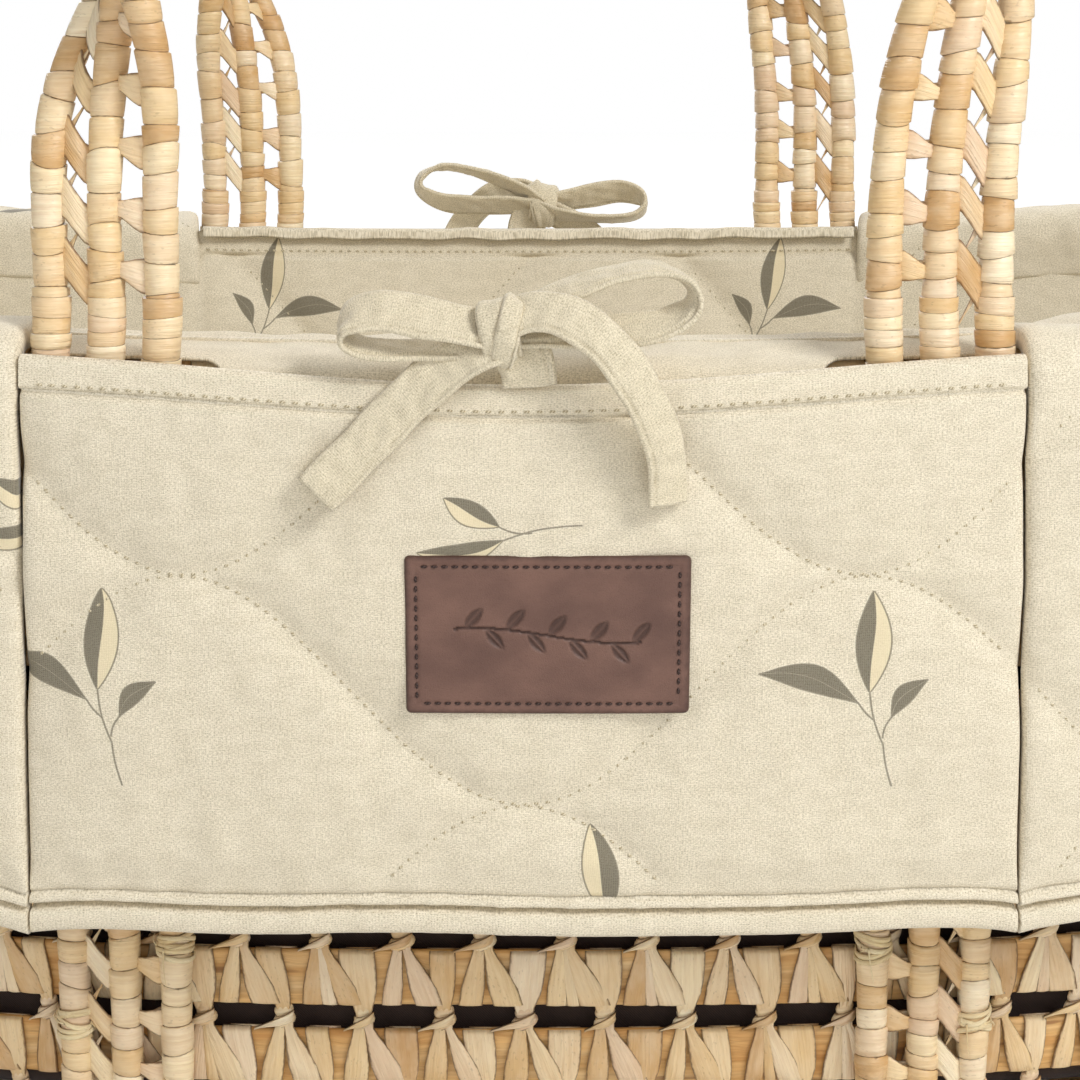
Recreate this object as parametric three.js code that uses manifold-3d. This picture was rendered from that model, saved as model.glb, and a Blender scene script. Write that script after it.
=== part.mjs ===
// A moses basket: an oval baby basket of flat cane courses lashed together with palm leaf, with two
// laced three-rod handles, a quilted liner that turns down over the rim, tied bows and a mattress.
//
// Millimetres. +X runs along the length towards the head end, +Y to the back, +Z up. The origin is on
// the ground under the middle of the base. An "offset" is the distance outwards from the outer face
// of the woven wall, so a negative offset is inside the basket. A "turn" is an angle round the plan.
import * as THREE from "three";
import Module from "manifold-3d";

// ---- driving sizes ------------------------------------------------------------------------------
const RIM_LENGTH = 796; // wall to wall at the rim, end to end
const RIM_WIDTH = 406; // wall to wall at the rim, side to side
const END_FLARE = 26; // how far an end leans out from the base to the rim
const SIDE_FLARE = 38; // and a side
const SIDE_HEIGHT = 258; // ground to rim top at the middle of a side
const END_RISE = 36; // how much higher the rim is at the two ends
const RISE_POWER = 3; // how late the rim starts to climb towards an end
const OVAL_POWER = 2.35; // 2 is an ellipse, more is squarer

const WALL_THICKNESS = 9;
const BASE_THICKNESS = 12;
const COURSE_COUNT = 8;
const COURSE_HEIGHT = 20.5;
const LASHING_THICKNESS = 3;
const RIM_DIAMETER = 16;

const LEG_SPACING = 239; // between the two legs of one handle, centre to centre
const ROD_DIAMETER = 9.6;
const ROD_PITCH = 16.3; // between rods in a leg
const GRIP_ROD_PITCH = 10.2; // between rods where they are gathered in the grip
const LEG_STRAIGHT = 95; // straight part of a leg above its lower end
const ARCH_HEIGHT = 165; // from the top of the straight part to the crown
const TWIST = { left: [38, 122], right: [50, 170] }; // along a leg, where the strap turns edge on
const SWAY = 20; // how far the crown leans sideways, the front one to +X and the back one to -X
const SWAY_HEIGHT = [25, 200]; // heights above a leg's lower end over which it leans
const GATHER_LENGTH = 48; // along a leg, over which the rods draw together before the grip
const GRIP_LENGTH = 130;
const GRIP_WALL = 2;
const LACING_WIDTH = 2.6;
const LACING_THICKNESS = 2;
const LACING_PITCH = 19; // from one crossing to the next on the same rod
const STRAP_FOOT = 16; // ground to the lower end of the strap on the wall
const STRAP_SPLAY = 7; // how much wider apart the straps are at their feet, each side
const FOLD_ABOVE_FLAP = 8; // the fold line's height above the flap's upper edge
const FOLD_FORWARD = 8.2; // how far the fold line lies in front of the rods' centres
const FOLD_GAP_ABOVE = 2; // the handle's rods start this far above the fold line
const FOLD_GAP_BELOW = 11; // and the rods on the wall stop this far below it
const TIE_THICKNESS = 1.5;
const TIE_HEIGHT = 5;

const LINER_THICKNESS = 5;
const BACKING_THICKNESS = 1.5;
const SKIRT_THICKNESS = 5;
const SKIRT_DROP = 178; // rim top down to the skirt's lower edge
const SKIRT_LEAN = 12; // how far the skirt's lower edge is drawn in
const FLAP_RISE = 4; // the flap's hemmed edge stands this far above the rim
const FOLD_LIFT = 1; // between the rim and the cloth turned over it
const HEM_BULGE = 2; // how much the rolled hem stands proud of the skirt

const MATTRESS_THICKNESS = 32;
const MATTRESS_MARGIN = 4;
const MATTRESS_EDGE = 6;

const PATCH_WIDTH = 81.5;
const PATCH_HEIGHT = 47.5;
const PATCH_THICKNESS = 1.8;
const PATCH_DROP = 77.5; // rim top to the middle of the patch
const PATCH_SHIFT = 7; // along X from the middle of the flap

const BOW_SHIFT = -6; // along X from the middle of the flap
const BOW_KNOT = 15; // across the knot
const RIBBON_WIDTH = 11;
const RIBBON_THICKNESS = 2.4;
const BOW_LOOP_LENGTH = 46;
const BOW_LOOP_HEIGHT = 17;
const BOW_TAIL_DROP = 38; // how far the tails hang below the flap's upper edge
const BOW_TAIL_SPREAD = 48;

const GAP = 0.3; // between pieces that touch
const CLEAR = 0.8; // between a soft piece and its neighbour
const BACKING_CLEAR = 1.3; // between the wall and its dark backing cloth
const STRAP_CLEARANCE = 1.4; // between the straps and the skirt over them
const SLIT_CLEARANCE = 1.5; // from a handle leg to the seam beside it
const SIDE_STATIONS = [0, 45, 95]; // along X between the two seams of a side
const END_STATIONS = 12; // from one seam round the end to the next
const ROD_SIDES = 6;

// ---- sizes that follow --------------------------------------------------------------------------
const legX = LEG_SPACING / 2;
const seamX = legX + ROD_PITCH + ROD_DIAMETER / 2 + SLIT_CLEARANCE;
const rimCentre = -WALL_THICKNESS / 2;
const rimOffset = rimCentre + RIM_DIAMETER / 2; // how far the rim stands proud of the wall
const footOffset = GAP + ROD_DIAMETER / 2; // rods' centres beside the wall
const strapOffset = rimOffset + footOffset; // rods' centres beside the rim
const skirtOffset = rimOffset + GAP + ROD_DIAMETER + STRAP_CLEARANCE;
const backingOffset = -WALL_THICKNESS - BACKING_CLEAR;
const linerOffset = -WALL_THICKNESS - rimOffset - CLEAR;
const linerInner = linerOffset - LINER_THICKNESS;
const linerFloor = BASE_THICKNESS + GAP;
const mattressFloor = linerFloor + LINER_THICKNESS + GAP;
const flapTop = SIDE_HEIGHT + FLAP_RISE;
const foldHeight = flapTop + FOLD_ABOVE_FLAP;
const legBottom = foldHeight + FOLD_GAP_ABOVE;
const strapTop = foldHeight - FOLD_GAP_BELOW;

// ---- the oval wall ------------------------------------------------------------------------------
const signedPower = (value, power) => Math.sign(value) * Math.abs(value) ** power;
const { lerp, smoothstep } = THREE.MathUtils;

/** How high the rim's top is at a turn round the basket. */
function rimTop(turn) {
  const along = Math.abs(Math.cos(turn)) ** (2 / OVAL_POWER);
  return SIDE_HEIGHT + END_RISE * along ** RISE_POWER;
}

/** The wall's outer face at a turn and a height, with the level direction it faces. */
function wallFace(turn, height) {
  const share = height / rimTop(turn);
  const a = RIM_LENGTH / 2 - END_FLARE * (1 - share);
  const b = RIM_WIDTH / 2 - SIDE_FLARE * (1 - share);
  const x = a * signedPower(Math.cos(turn), 2 / OVAL_POWER);
  const y = b * signedPower(Math.sin(turn), 2 / OVAL_POWER);
  const facingX = signedPower(x / a, OVAL_POWER - 1) / a;
  const facingY = signedPower(y / b, OVAL_POWER - 1) / b;
  return { point: new THREE.Vector3(x, y, height), facing: new THREE.Vector3(facingX, facingY, 0).normalize() };
}

/** A point at a turn, a height and an offset. */
function wallPoint(turn, height, offset) {
  const { point, facing } = wallFace(turn, height);
  return point.addScaledVector(facing, offset);
}

/** The turn, from 0 to PI, at which the wall is at x at a height. */
function turnAt(x, height = SIDE_HEIGHT) {
  const a = RIM_LENGTH / 2 - END_FLARE * (1 - height / SIDE_HEIGHT);
  return Math.acos(signedPower(x / a, OVAL_POWER / 2));
}

/** Turns spread evenly along the rim between two turns, both ends included. */
function evenTurns(from, to, count) {
  const fine = 400;
  const turns = Array.from({ length: fine + 1 }, (_, i) => lerp(from, to, i / fine));
  const points = turns.map((turn) => wallPoint(turn, rimTop(turn), 0));
  const along = [0];
  for (let i = 1; i <= fine; i++) along.push(along[i - 1] + points[i].distanceTo(points[i - 1]));
  return Array.from({ length: count + 1 }, (_, k) => {
    const wanted = (along[fine] * k) / count;
    const i = Math.min(fine - 1, along.findLastIndex((length) => length <= wanted));
    return lerp(turns[i], turns[i + 1], (wanted - along[i]) / (along[i + 1] - along[i]));
  });
}

const sideX = [...SIDE_STATIONS.slice(1).reverse().map((x) => -x), ...SIDE_STATIONS];
const headTurns = evenTurns(-turnAt(seamX), turnAt(seamX), END_STATIONS);
const footTurns = headTurns.map((turn) => turn + Math.PI);
const backTurns = sideX.map((x) => turnAt(-x));
const frontTurns = sideX.map((x) => -turnAt(x));
const allTurns = [...headTurns, ...backTurns, ...footTurns, ...frontTurns];

// ---- solids -------------------------------------------------------------------------------------
/** A geometry from points and corners, its faces turned to point outwards. */
function solid(points, corners) {
  let volume = 0;
  for (let i = 0; i < corners.length; i += 3) {
    const [a, b, c] = corners.slice(i, i + 3).map((corner) => points[corner]);
    volume += a.dot(b.clone().cross(c));
  }
  const geometry = new THREE.BufferGeometry().setFromPoints(points);
  geometry.setIndex(volume < 0 ? corners.reverse() : corners);
  geometry.computeVertexNormals();
  return geometry;
}

/**
 * A slab between two grids of points, each grid a list of stations and each station a list of points
 * from one edge to the other. A closed slab joins its last station to its first.
 */
function slab(outer, inner, closed = false) {
  const stations = outer.length;
  const rows = outer[0].length;
  const corners = [];
  const at = (face, i, j) => (face * stations + (i % stations)) * rows + j;
  const quad = (a, b, c, d) => corners.push(a, b, c, a, c, d);
  for (let i = 0; i < (closed ? stations : stations - 1); i++) {
    for (let j = 0; j < rows - 1; j++) {
      quad(at(0, i, j), at(0, i + 1, j), at(0, i + 1, j + 1), at(0, i, j + 1));
      quad(at(1, i, j), at(1, i, j + 1), at(1, i + 1, j + 1), at(1, i + 1, j));
    }
    quad(at(0, i, 0), at(1, i, 0), at(1, i + 1, 0), at(0, i + 1, 0));
    quad(at(0, i, rows - 1), at(0, i + 1, rows - 1), at(1, i + 1, rows - 1), at(1, i, rows - 1));
  }
  if (!closed) {
    const last = stations - 1;
    for (let j = 0; j < rows - 1; j++) {
      quad(at(0, 0, j), at(0, 0, j + 1), at(1, 0, j + 1), at(1, 0, j));
      quad(at(0, last, j), at(1, last, j), at(1, last, j + 1), at(0, last, j + 1));
    }
  }
  return solid([...outer.flat(), ...inner.flat()], corners);
}

/** A solid through rings of points of the same count: a closed hoop, or a tube with capped ends. */
function tube(rings, closed = false) {
  const around = rings[0].length;
  const corners = [];
  for (let i = 0; i < (closed ? rings.length : rings.length - 1); i++) {
    const next = (i + 1) % rings.length;
    for (let j = 0; j < around; j++) {
      const [a, b] = [i * around + j, next * around + j];
      const [c, d] = [next * around + ((j + 1) % around), i * around + ((j + 1) % around)];
      corners.push(a, b, c, a, c, d);
    }
  }
  if (!closed) {
    const last = (rings.length - 1) * around;
    for (let j = 1; j < around - 1; j++) corners.push(0, j, j + 1, last, last + j + 1, last + j);
  }
  return solid(rings.flat(), corners);
}

/** A ring of points in the plane of two directions, from a list of [along first, along second]. */
function ringOf(centre, first, second, outline) {
  return outline.map(([u, v]) => centre.clone().addScaledVector(first, u).addScaledVector(second, v));
}

/** A regular outline of a number of sides with its corners on a circle. */
function roundOutline(radius, sides) {
  const angles = Array.from({ length: sides }, (_, k) => (2 * Math.PI * (k + 0.5)) / sides);
  return angles.map((angle) => [radius * Math.cos(angle), radius * Math.sin(angle)]);
}

function boxOutline(width, height) {
  const [u, v] = [width / 2, height / 2];
  return [[-u, -v], [u, -v], [u, v], [-u, v]];
}

/** A band along the wall between two offsets, from and to the heights that edges(turn) gives. */
function wallBand(outerOffset, innerOffset, edges) {
  const face = (offset) => allTurns.map((turn) => edges(turn).map((z) => wallPoint(turn, z, offset)));
  return slab(face(outerOffset), face(innerOffset), true);
}

/** A flat oval plate standing on a height, its edge following the wall at an offset. */
function ovalPlate(height, offset, thickness, edge = 0) {
  const outline = allTurns.map((turn) => wallPoint(turn, height, offset));
  const shape = new THREE.Shape(outline.map((p) => new THREE.Vector2(p.x, p.y)));
  const bevel = { bevelEnabled: edge > 0, bevelSize: edge, bevelThickness: edge, bevelSegments: 2 };
  const depth = thickness - 2 * edge;
  const geometry = new THREE.ExtrudeGeometry(shape, { ...bevel, bevelOffset: -edge, depth });
  return geometry.translate(0, 0, height + edge);
}

// ---- joining with manifold-3d -------------------------------------------------------------------
const wasm = await Module();
wasm.setup();

/** A closed geometry as a manifold-3d solid, with equal points merged. */
function manifoldOf(geometry) {
  const seen = new Map();
  const vertices = [];
  const { position } = geometry.attributes;
  const corners = geometry.index ? geometry.index.array : [...Array(position.count).keys()];
  const triangles = Array.from(corners, (corner) => {
    const p = [position.getX(corner), position.getY(corner), position.getZ(corner)];
    const key = p.map((value) => value.toFixed(4)).join(" ");
    if (!seen.has(key)) {
      seen.set(key, vertices.length / 3);
      vertices.push(...p);
    }
    return seen.get(key);
  });
  const vertProperties = new Float32Array(vertices);
  const triVerts = new Uint32Array(triangles);
  return new wasm.Manifold(new wasm.Mesh({ numProp: 3, vertProperties, triVerts }));
}

/** Closed geometries that overlap, joined into one. */
function joined(geometries) {
  const whole = geometries.map(manifoldOf).reduce((a, b) => a.add(b));
  const { vertProperties, triVerts } = whole.getMesh();
  const geometry = new THREE.BufferGeometry();
  geometry.setAttribute("position", new THREE.BufferAttribute(vertProperties, 3));
  geometry.setIndex(new THREE.BufferAttribute(triVerts, 1));
  geometry.computeVertexNormals();
  return geometry;
}

// ---- finishes -----------------------------------------------------------------------------------
const finishes = {
  cane: new THREE.MeshStandardMaterial({ color: 0xd9b682, roughness: 0.6, metalness: 0 }),
  leaf: new THREE.MeshStandardMaterial({ color: 0xe9cfa0, roughness: 0.42, metalness: 0 }),
  twine: new THREE.MeshStandardMaterial({ color: 0xe6d3ab, roughness: 0.8, metalness: 0 }),
  quilt: new THREE.MeshStandardMaterial({ color: 0xd2c7ab, roughness: 0.95, metalness: 0 }),
  backing: new THREE.MeshStandardMaterial({ color: 0x40322c, roughness: 0.95, metalness: 0 }),
  hide: new THREE.MeshStandardMaterial({ color: 0x70514a, roughness: 0.5, metalness: 0 }),
  ticking: new THREE.MeshStandardMaterial({ color: 0xeeeae0, roughness: 0.9, metalness: 0 }),
};

const basket = new THREE.Group();

function addPiece(name, geometry, finish) {
  const mesh = new THREE.Mesh(geometry, finishes[finish]);
  mesh.name = name;
  basket.add(mesh);
}

// ---- woven body ---------------------------------------------------------------------------------
/** Heights of the lower and upper edge of a course; course 0 is the base, the last is the rim. */
function courseEdges(turn, course) {
  const rimBottom = rimTop(turn) - RIM_DIAMETER;
  if (course === 0) return [0, BASE_THICKNESS];
  if (course > COURSE_COUNT) return [rimBottom, rimTop(turn)];
  const gap = (rimBottom - BASE_THICKNESS - COURSE_COUNT * COURSE_HEIGHT) / (COURSE_COUNT + 1);
  const lower = BASE_THICKNESS + course * gap + (course - 1) * COURSE_HEIGHT;
  return [lower, lower + COURSE_HEIGHT];
}

/** Heights of the lower and upper edge of the gap above a course. */
const gapEdges = (turn, course) => [courseEdges(turn, course)[1], courseEdges(turn, course + 1)[0]];

function addWovenBody() {
  addPiece("woven_base", ovalPlate(0, 0, BASE_THICKNESS), "cane");
  for (let course = 1; course <= COURSE_COUNT; course++) {
    const edges = (turn) => courseEdges(turn, course);
    addPiece(`course_${course}`, wallBand(0, -WALL_THICKNESS, edges), "cane");
  }
  const lashingOuter = (LASHING_THICKNESS - WALL_THICKNESS) / 2;
  for (let course = 0; course <= COURSE_COUNT; course++) {
    const edges = (turn) => {
      const [lower, upper] = gapEdges(turn, course);
      return [lower + GAP, upper - GAP];
    };
    const band = wallBand(lashingOuter, lashingOuter - LASHING_THICKNESS, edges);
    addPiece(`lashing_${course + 1}`, band, "leaf");
  }
  const up = new THREE.Vector3(0, 0, 1);
  const rings = allTurns.map((turn) => {
    const height = rimTop(turn) - RIM_DIAMETER / 2;
    const centre = wallPoint(turn, height, rimCentre);
    return ringOf(centre, wallFace(turn, height).facing, up, roundOutline(RIM_DIAMETER / 2, 8));
  });
  addPiece("rim", tube(rings, true), "leaf");
}

// ---- straps on the wall -------------------------------------------------------------------------
/** Where a strap lies on the wall at a height: its centre, its width direction and its facing. */
function strapFrame(height, end, side) {
  const x = lerp(legX + STRAP_SPLAY, legX, height / SIDE_HEIGHT);
  const rimBottom = SIDE_HEIGHT - RIM_DIAMETER;
  const climb = THREE.MathUtils.clamp((height - rimBottom + RIM_DIAMETER) / (1.5 * RIM_DIAMETER), 0, 1);
  const { point, facing } = wallFace(turnAt(x, height), height);
  point.addScaledVector(facing, lerp(footOffset, strapOffset, climb));
  const place = new THREE.Vector3(end, side, 1);
  const across = new THREE.Vector3(facing.y, -facing.x, 0);
  return { centre: point.multiply(place), across: across.multiply(place), facing: facing.multiply(place) };
}

/** The strap's rods, -1 is the one nearest the middle of the basket. */
const RODS = { inner: -1, middle: 0, outer: 1 };

function addStraps(end, side, name) {
  const rimBottom = SIDE_HEIGHT - RIM_DIAMETER;
  const heights = [STRAP_FOOT, rimBottom - RIM_DIAMETER, rimBottom + RIM_DIAMETER / 2, strapTop];
  const outline = roundOutline(ROD_DIAMETER / 2, ROD_SIDES);
  const rods = Object.values(RODS).map((place) =>
    tube(
      heights.map((height) => {
        const { centre, across, facing } = strapFrame(height, end, side);
        return ringOf(centre.addScaledVector(across, place * ROD_PITCH), across, facing, outline);
      }),
    ),
  );
  const tied = { [RODS.inner]: gapEdges(Math.PI / 2, 2), [RODS.outer]: gapEdges(Math.PI / 2, 1) };
  const swing = (ROD_PITCH - ROD_DIAMETER) / 2;
  const lacings = [RODS.inner, RODS.outer].map((place) => {
    const from = tied[place][1];
    const crossings = Math.floor((strapTop - from) / (LACING_PITCH / 2));
    const rings = Array.from({ length: crossings }, (_, k) => {
      const { centre, across, facing } = strapFrame(from + ((k + 0.5) * LACING_PITCH) / 2, end, side);
      centre.addScaledVector(across, (place * ROD_PITCH) / 2 + (k % 2 ? swing : -swing));
      return ringOf(centre, across, facing, boxOutline(LACING_WIDTH, LACING_THICKNESS));
    });
    return tube(rings);
  });
  addPiece(`${name}_strap`, joined([...rods, ...lacings]), "leaf");
  const sides = 8;
  const inner = (ROD_DIAMETER / 2 + GAP) / Math.cos(Math.PI / sides);
  for (const [label, place] of [["inner", RODS.inner], ["outer", RODS.outer]]) {
    const middle = (tied[place][0] + tied[place][1]) / 2;
    const face = (radius) => {
      const edges = [-TIE_HEIGHT / 2, TIE_HEIGHT / 2].map((lift) => {
        const { centre, across, facing } = strapFrame(middle + lift, end, side);
        centre.addScaledVector(across, place * ROD_PITCH);
        return ringOf(centre, across, facing, roundOutline(radius, sides));
      });
      return edges[0].map((point, k) => [point, edges[1][k]]);
    };
    const ring = slab(face(inner + TIE_THICKNESS), face(inner), true);
    addPiece(`${name}_${label}_tie`, ring, "twine");
  }
}

// ---- handles ------------------------------------------------------------------------------------
const legFace = wallFace(turnAt(legX), SIDE_HEIGHT);
const rodY = legFace.point.y + strapOffset / legFace.facing.y;
const legTilt = Math.atan2(legFace.facing.x, legFace.facing.y);
const loop = new THREE.Path()
  .moveTo(-legX, 0)
  .lineTo(-legX, LEG_STRAIGHT)
  .absellipse(0, LEG_STRAIGHT, legX, ARCH_HEIGHT, Math.PI, 0, true)
  .lineTo(legX, 0);
loop.arcLengthDivisions = 2000;
const loopLength = loop.getLength();

/** A handle's strap at a length along its loop: centre, width direction, facing and rod pitch. */
function loopFrame(along, side) {
  const point = loop.getPointAt(along / loopLength);
  const tangent = loop.getTangentAt(along / loopLength);
  const fromEnd = Math.min(along, loopLength - along);
  const [start, end] = along < loopLength / 2 ? TWIST.left : TWIST.right;
  const twist = lerp(legTilt, Math.PI / 2, smoothstep(fromEnd, start, end));
  const sway = SWAY * smoothstep(point.y, ...SWAY_HEIGHT);
  const gripStart = (loopLength - GRIP_LENGTH) / 2;
  const gather = smoothstep(fromEnd, gripStart - GATHER_LENGTH, gripStart);
  const outwards = new THREE.Vector3(-tangent.y, 0, tangent.x);
  const inwards = new THREE.Vector3(0, -side, 0);
  const across = outwards.multiplyScalar(Math.cos(twist)).addScaledVector(inwards, Math.sin(twist));
  return {
    centre: new THREE.Vector3(point.x - side * sway, side * rodY, legBottom + point.y),
    across,
    facing: new THREE.Vector3(tangent.x, 0, tangent.y).cross(across),
    pitch: lerp(ROD_PITCH, GRIP_ROD_PITCH, gather),
  };
}

function addHandle(side, name) {
  const gripStart = (loopLength - GRIP_LENGTH) / 2;
  const spread = (from, to, count) => Array.from({ length: count }, (_, k) => lerp(from, to, k / count));
  const half = [0, ...spread(LEG_STRAIGHT / 3, LEG_STRAIGHT, 4), ...spread(LEG_STRAIGHT, gripStart, 11)];
  const grip = [...spread(gripStart, loopLength - gripStart, 8), loopLength - gripStart];
  const lengths = [...half, ...grip, ...[...half].reverse().map((along) => loopLength - along)];
  const outline = roundOutline(ROD_DIAMETER / 2, ROD_SIDES);
  for (const [label, place] of Object.entries(RODS)) {
    const rings = lengths.map((along) => {
      const { centre, across, facing, pitch } = loopFrame(along, side);
      return ringOf(centre.addScaledVector(across, place * pitch), across, facing, outline);
    });
    addPiece(`${name}_handle_${label}_rod`, tube(rings), "leaf");
  }
  const crossings = Math.floor((gripStart - GATHER_LENGTH) / (LACING_PITCH / 2));
  const swing = (ROD_PITCH - ROD_DIAMETER - LACING_WIDTH) / 2 - GAP;
  for (const [label, place] of [["inner", RODS.inner], ["outer", RODS.outer]]) {
    for (const leg of ["left", "right"]) {
      const rings = Array.from({ length: crossings }, (_, k) => {
        const fromEnd = ((k + 0.5) * LACING_PITCH) / 2;
        const { centre, across, facing } = loopFrame(leg === "left" ? fromEnd : loopLength - fromEnd, side);
        centre.addScaledVector(across, (place * ROD_PITCH) / 2 + (k % 2 ? swing : -swing));
        return ringOf(centre, across, facing, boxOutline(LACING_WIDTH, LACING_THICKNESS));
      });
      addPiece(`${name}_${leg}_${label}_lacing`, tube(rings), "leaf");
    }
  }
  addPiece(`${name}_grip`, gripSleeve(grip, side), "leaf");
}

/** A sleeve round the three gathered rods, over the given lengths of the loop. */
function gripSleeve(lengths, side) {
  const quarter = Math.PI / 4;
  const outline = (radius) =>
    [1, -1].flatMap((end) =>
      [-2, -1, 0, 1, 2].map((step) => [
        end * (GRIP_ROD_PITCH + radius * Math.cos(step * quarter)),
        end * radius * Math.sin(step * quarter),
      ]),
    );
  const inner = (ROD_DIAMETER / 2 + GAP) / Math.cos(quarter / 2);
  const face = (radius) => {
    const rings = lengths.map((along) => {
      const { centre, across, facing } = loopFrame(along, side);
      return ringOf(centre, across, facing, outline(radius));
    });
    return rings[0].map((_, k) => rings.map((ring) => ring[k]));
  };
  return slab(face(inner + GRIP_WALL), face(inner), true);
}

// ---- liner, skirt and flaps ---------------------------------------------------------------------
/** A point on the skirt at a turn, a depth below the rim's top and an offset at the rim. */
function skirtPoint(turn, depth, offset) {
  const lean = (SKIRT_LEAN * Math.max(0, depth - RIM_DIAMETER)) / (SKIRT_DROP - RIM_DIAMETER);
  const point = wallPoint(turn, rimTop(turn), offset - lean);
  point.z = rimTop(turn) - depth;
  return point;
}

/** A sheet over the given turns through [depth, outer offset] and [depth, inner offset] points. */
function skirtSheet(turns, outer, inner) {
  const face = (rows) => turns.map((turn) => rows.map(([depth, offset]) => skirtPoint(turn, depth, offset)));
  return slab(face(outer), face(inner));
}

const skirtOuter = skirtOffset + SKIRT_THICKNESS;
/** The hanging part of a skirt or flap below a depth, ending in its rolled hem. */
const hangingRows = (from) => ({
  outer: [
    [from, skirtOuter],
    [SKIRT_DROP / 2, skirtOuter + HEM_BULGE / 2],
    [SKIRT_DROP - 14, skirtOuter],
    [SKIRT_DROP - 6, skirtOuter + HEM_BULGE],
    [SKIRT_DROP, skirtOuter],
  ],
  inner: [from, SKIRT_DROP / 2, SKIRT_DROP - 14, SKIRT_DROP - 6, SKIRT_DROP].map((depth) => [
    depth,
    skirtOffset,
  ]),
});

function addLiner() {
  const rise = (turn) => (Math.abs(Math.cos(turn)) < Math.cos(turnAt(seamX - 1)) ? FLAP_RISE : FOLD_LIFT);
  const backing = (turn) => [BASE_THICKNESS + GAP, rimTop(turn) - RIM_DIAMETER - GAP];
  addPiece("backing_cloth", wallBand(backingOffset, backingOffset - BACKING_THICKNESS, backing), "backing");
  const liner = (turn) => [linerFloor, rimTop(turn) + rise(turn)];
  addPiece("liner_wall", wallBand(linerOffset, linerInner, liner), "quilt");
  addPiece("liner_floor", ovalPlate(linerFloor, linerInner - GAP, LINER_THICKNESS), "quilt");
  addPiece("mattress", ovalPlate(mattressFloor, linerInner - MATTRESS_MARGIN, MATTRESS_THICKNESS, MATTRESS_EDGE), "ticking");
}

function addSkirts() {
  const under = -FOLD_LIFT - GAP;
  const over = under - SKIRT_THICKNESS;
  const hanging = hangingRows(16);
  const outer = [[over, linerInner], [over, 0], [over, skirtOuter - 4], [over + 3, skirtOuter - 1], ...hanging.outer];
  const inner = [[under, linerInner], [under, 0], [under, skirtOffset - 2], [0, skirtOffset], ...hanging.inner];
  addPiece("head_skirt", skirtSheet(headTurns, outer, inner), "quilt");
  addPiece("foot_skirt", skirtSheet(footTurns, outer, inner), "quilt");
  const flap = hangingRows(-FLAP_RISE);
  const edge = seamX - CLEAR;
  const back = [edge, ...[...sideX].reverse(), -edge].map((x) => turnAt(x));
  addPiece("back_flap", skirtSheet(back, flap.outer, flap.inner), "quilt");
  addPiece("front_flap", skirtSheet(back.map((turn) => turn + Math.PI), flap.outer, flap.inner), "quilt");
}

function addPatch() {
  const stations = [-0.5, 0, 0.5].map((share) => -turnAt(PATCH_SHIFT + share * PATCH_WIDTH));
  const from = skirtOuter + HEM_BULGE + GAP;
  const rows = (offset) => [-0.5, 0.5].map((share) => [PATCH_DROP + share * PATCH_HEIGHT, offset]);
  addPiece("leather_patch", skirtSheet(stations, rows(from + PATCH_THICKNESS), rows(from)), "hide");
}

// ---- bows ---------------------------------------------------------------------------------------
/** A bow built facing -Y; the back one is the same bow turned round. */
function bowGeometry() {
  const flapY = wallPoint(-Math.PI / 2, SIDE_HEIGHT, skirtOuter).y;
  const knotHeight = flapTop + GAP + BOW_LOOP_HEIGHT / 2;
  const knot = new THREE.IcosahedronGeometry(BOW_KNOT / 2, 1);
  knot.translate(0, flapY + SKIRT_THICKNESS / 2, knotHeight);
  const parts = [knot];
  for (const end of [-1, 1]) {
    const half = RIBBON_WIDTH / 2;
    const outer = new THREE.Shape()
      .moveTo(0, -RIBBON_THICKNESS)
      .lineTo(end * BOW_LOOP_LENGTH * 0.7, -BOW_LOOP_HEIGHT / 2)
      .lineTo(end * BOW_LOOP_LENGTH, -BOW_LOOP_HEIGHT / 4)
      .lineTo(end * BOW_LOOP_LENGTH, BOW_LOOP_HEIGHT / 4)
      .lineTo(end * BOW_LOOP_LENGTH * 0.7, BOW_LOOP_HEIGHT / 2)
      .lineTo(0, RIBBON_THICKNESS);
    const ring = new THREE.ExtrudeGeometry(outer, { depth: RIBBON_WIDTH, bevelEnabled: false });
    ring.rotateX(Math.PI / 2).translate(0, flapY + SKIRT_THICKNESS / 2 + half, knotHeight);
    parts.push(ring);
    parts.push(bowTail(end, flapY, knotHeight));
  }
  return joined(parts).translate(BOW_SHIFT, 0, 0);
}

function bowTail(end, flapY, knotHeight) {
  const front = flapY - HEM_BULGE / 2 - GAP - RIBBON_THICKNESS / 2;
  const points = [
    new THREE.Vector3(0, flapY + SKIRT_THICKNESS / 2, knotHeight),
    new THREE.Vector3(end * BOW_TAIL_SPREAD * 0.35, front, knotHeight),
    new THREE.Vector3(end * BOW_TAIL_SPREAD * 0.8, front - RIBBON_THICKNESS, flapTop - BOW_TAIL_DROP / 3),
    new THREE.Vector3(end * BOW_TAIL_SPREAD, front, flapTop - BOW_TAIL_DROP),
  ];
  const out = new THREE.Vector3(0, 1, 0);
  const rings = points.map((point, i) => {
    const along = points[Math.min(i + 1, 3)].clone().sub(points[Math.max(i - 1, 0)]);
    const across = along.cross(out).normalize();
    return ringOf(point, across, out, boxOutline(RIBBON_WIDTH, RIBBON_THICKNESS));
  });
  return tube(rings);
}

function addBows() {
  const bow = bowGeometry();
  addPiece("front_bow", bow, "quilt");
  addPiece("back_bow", bow.clone().rotateZ(Math.PI), "quilt");
}

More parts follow.
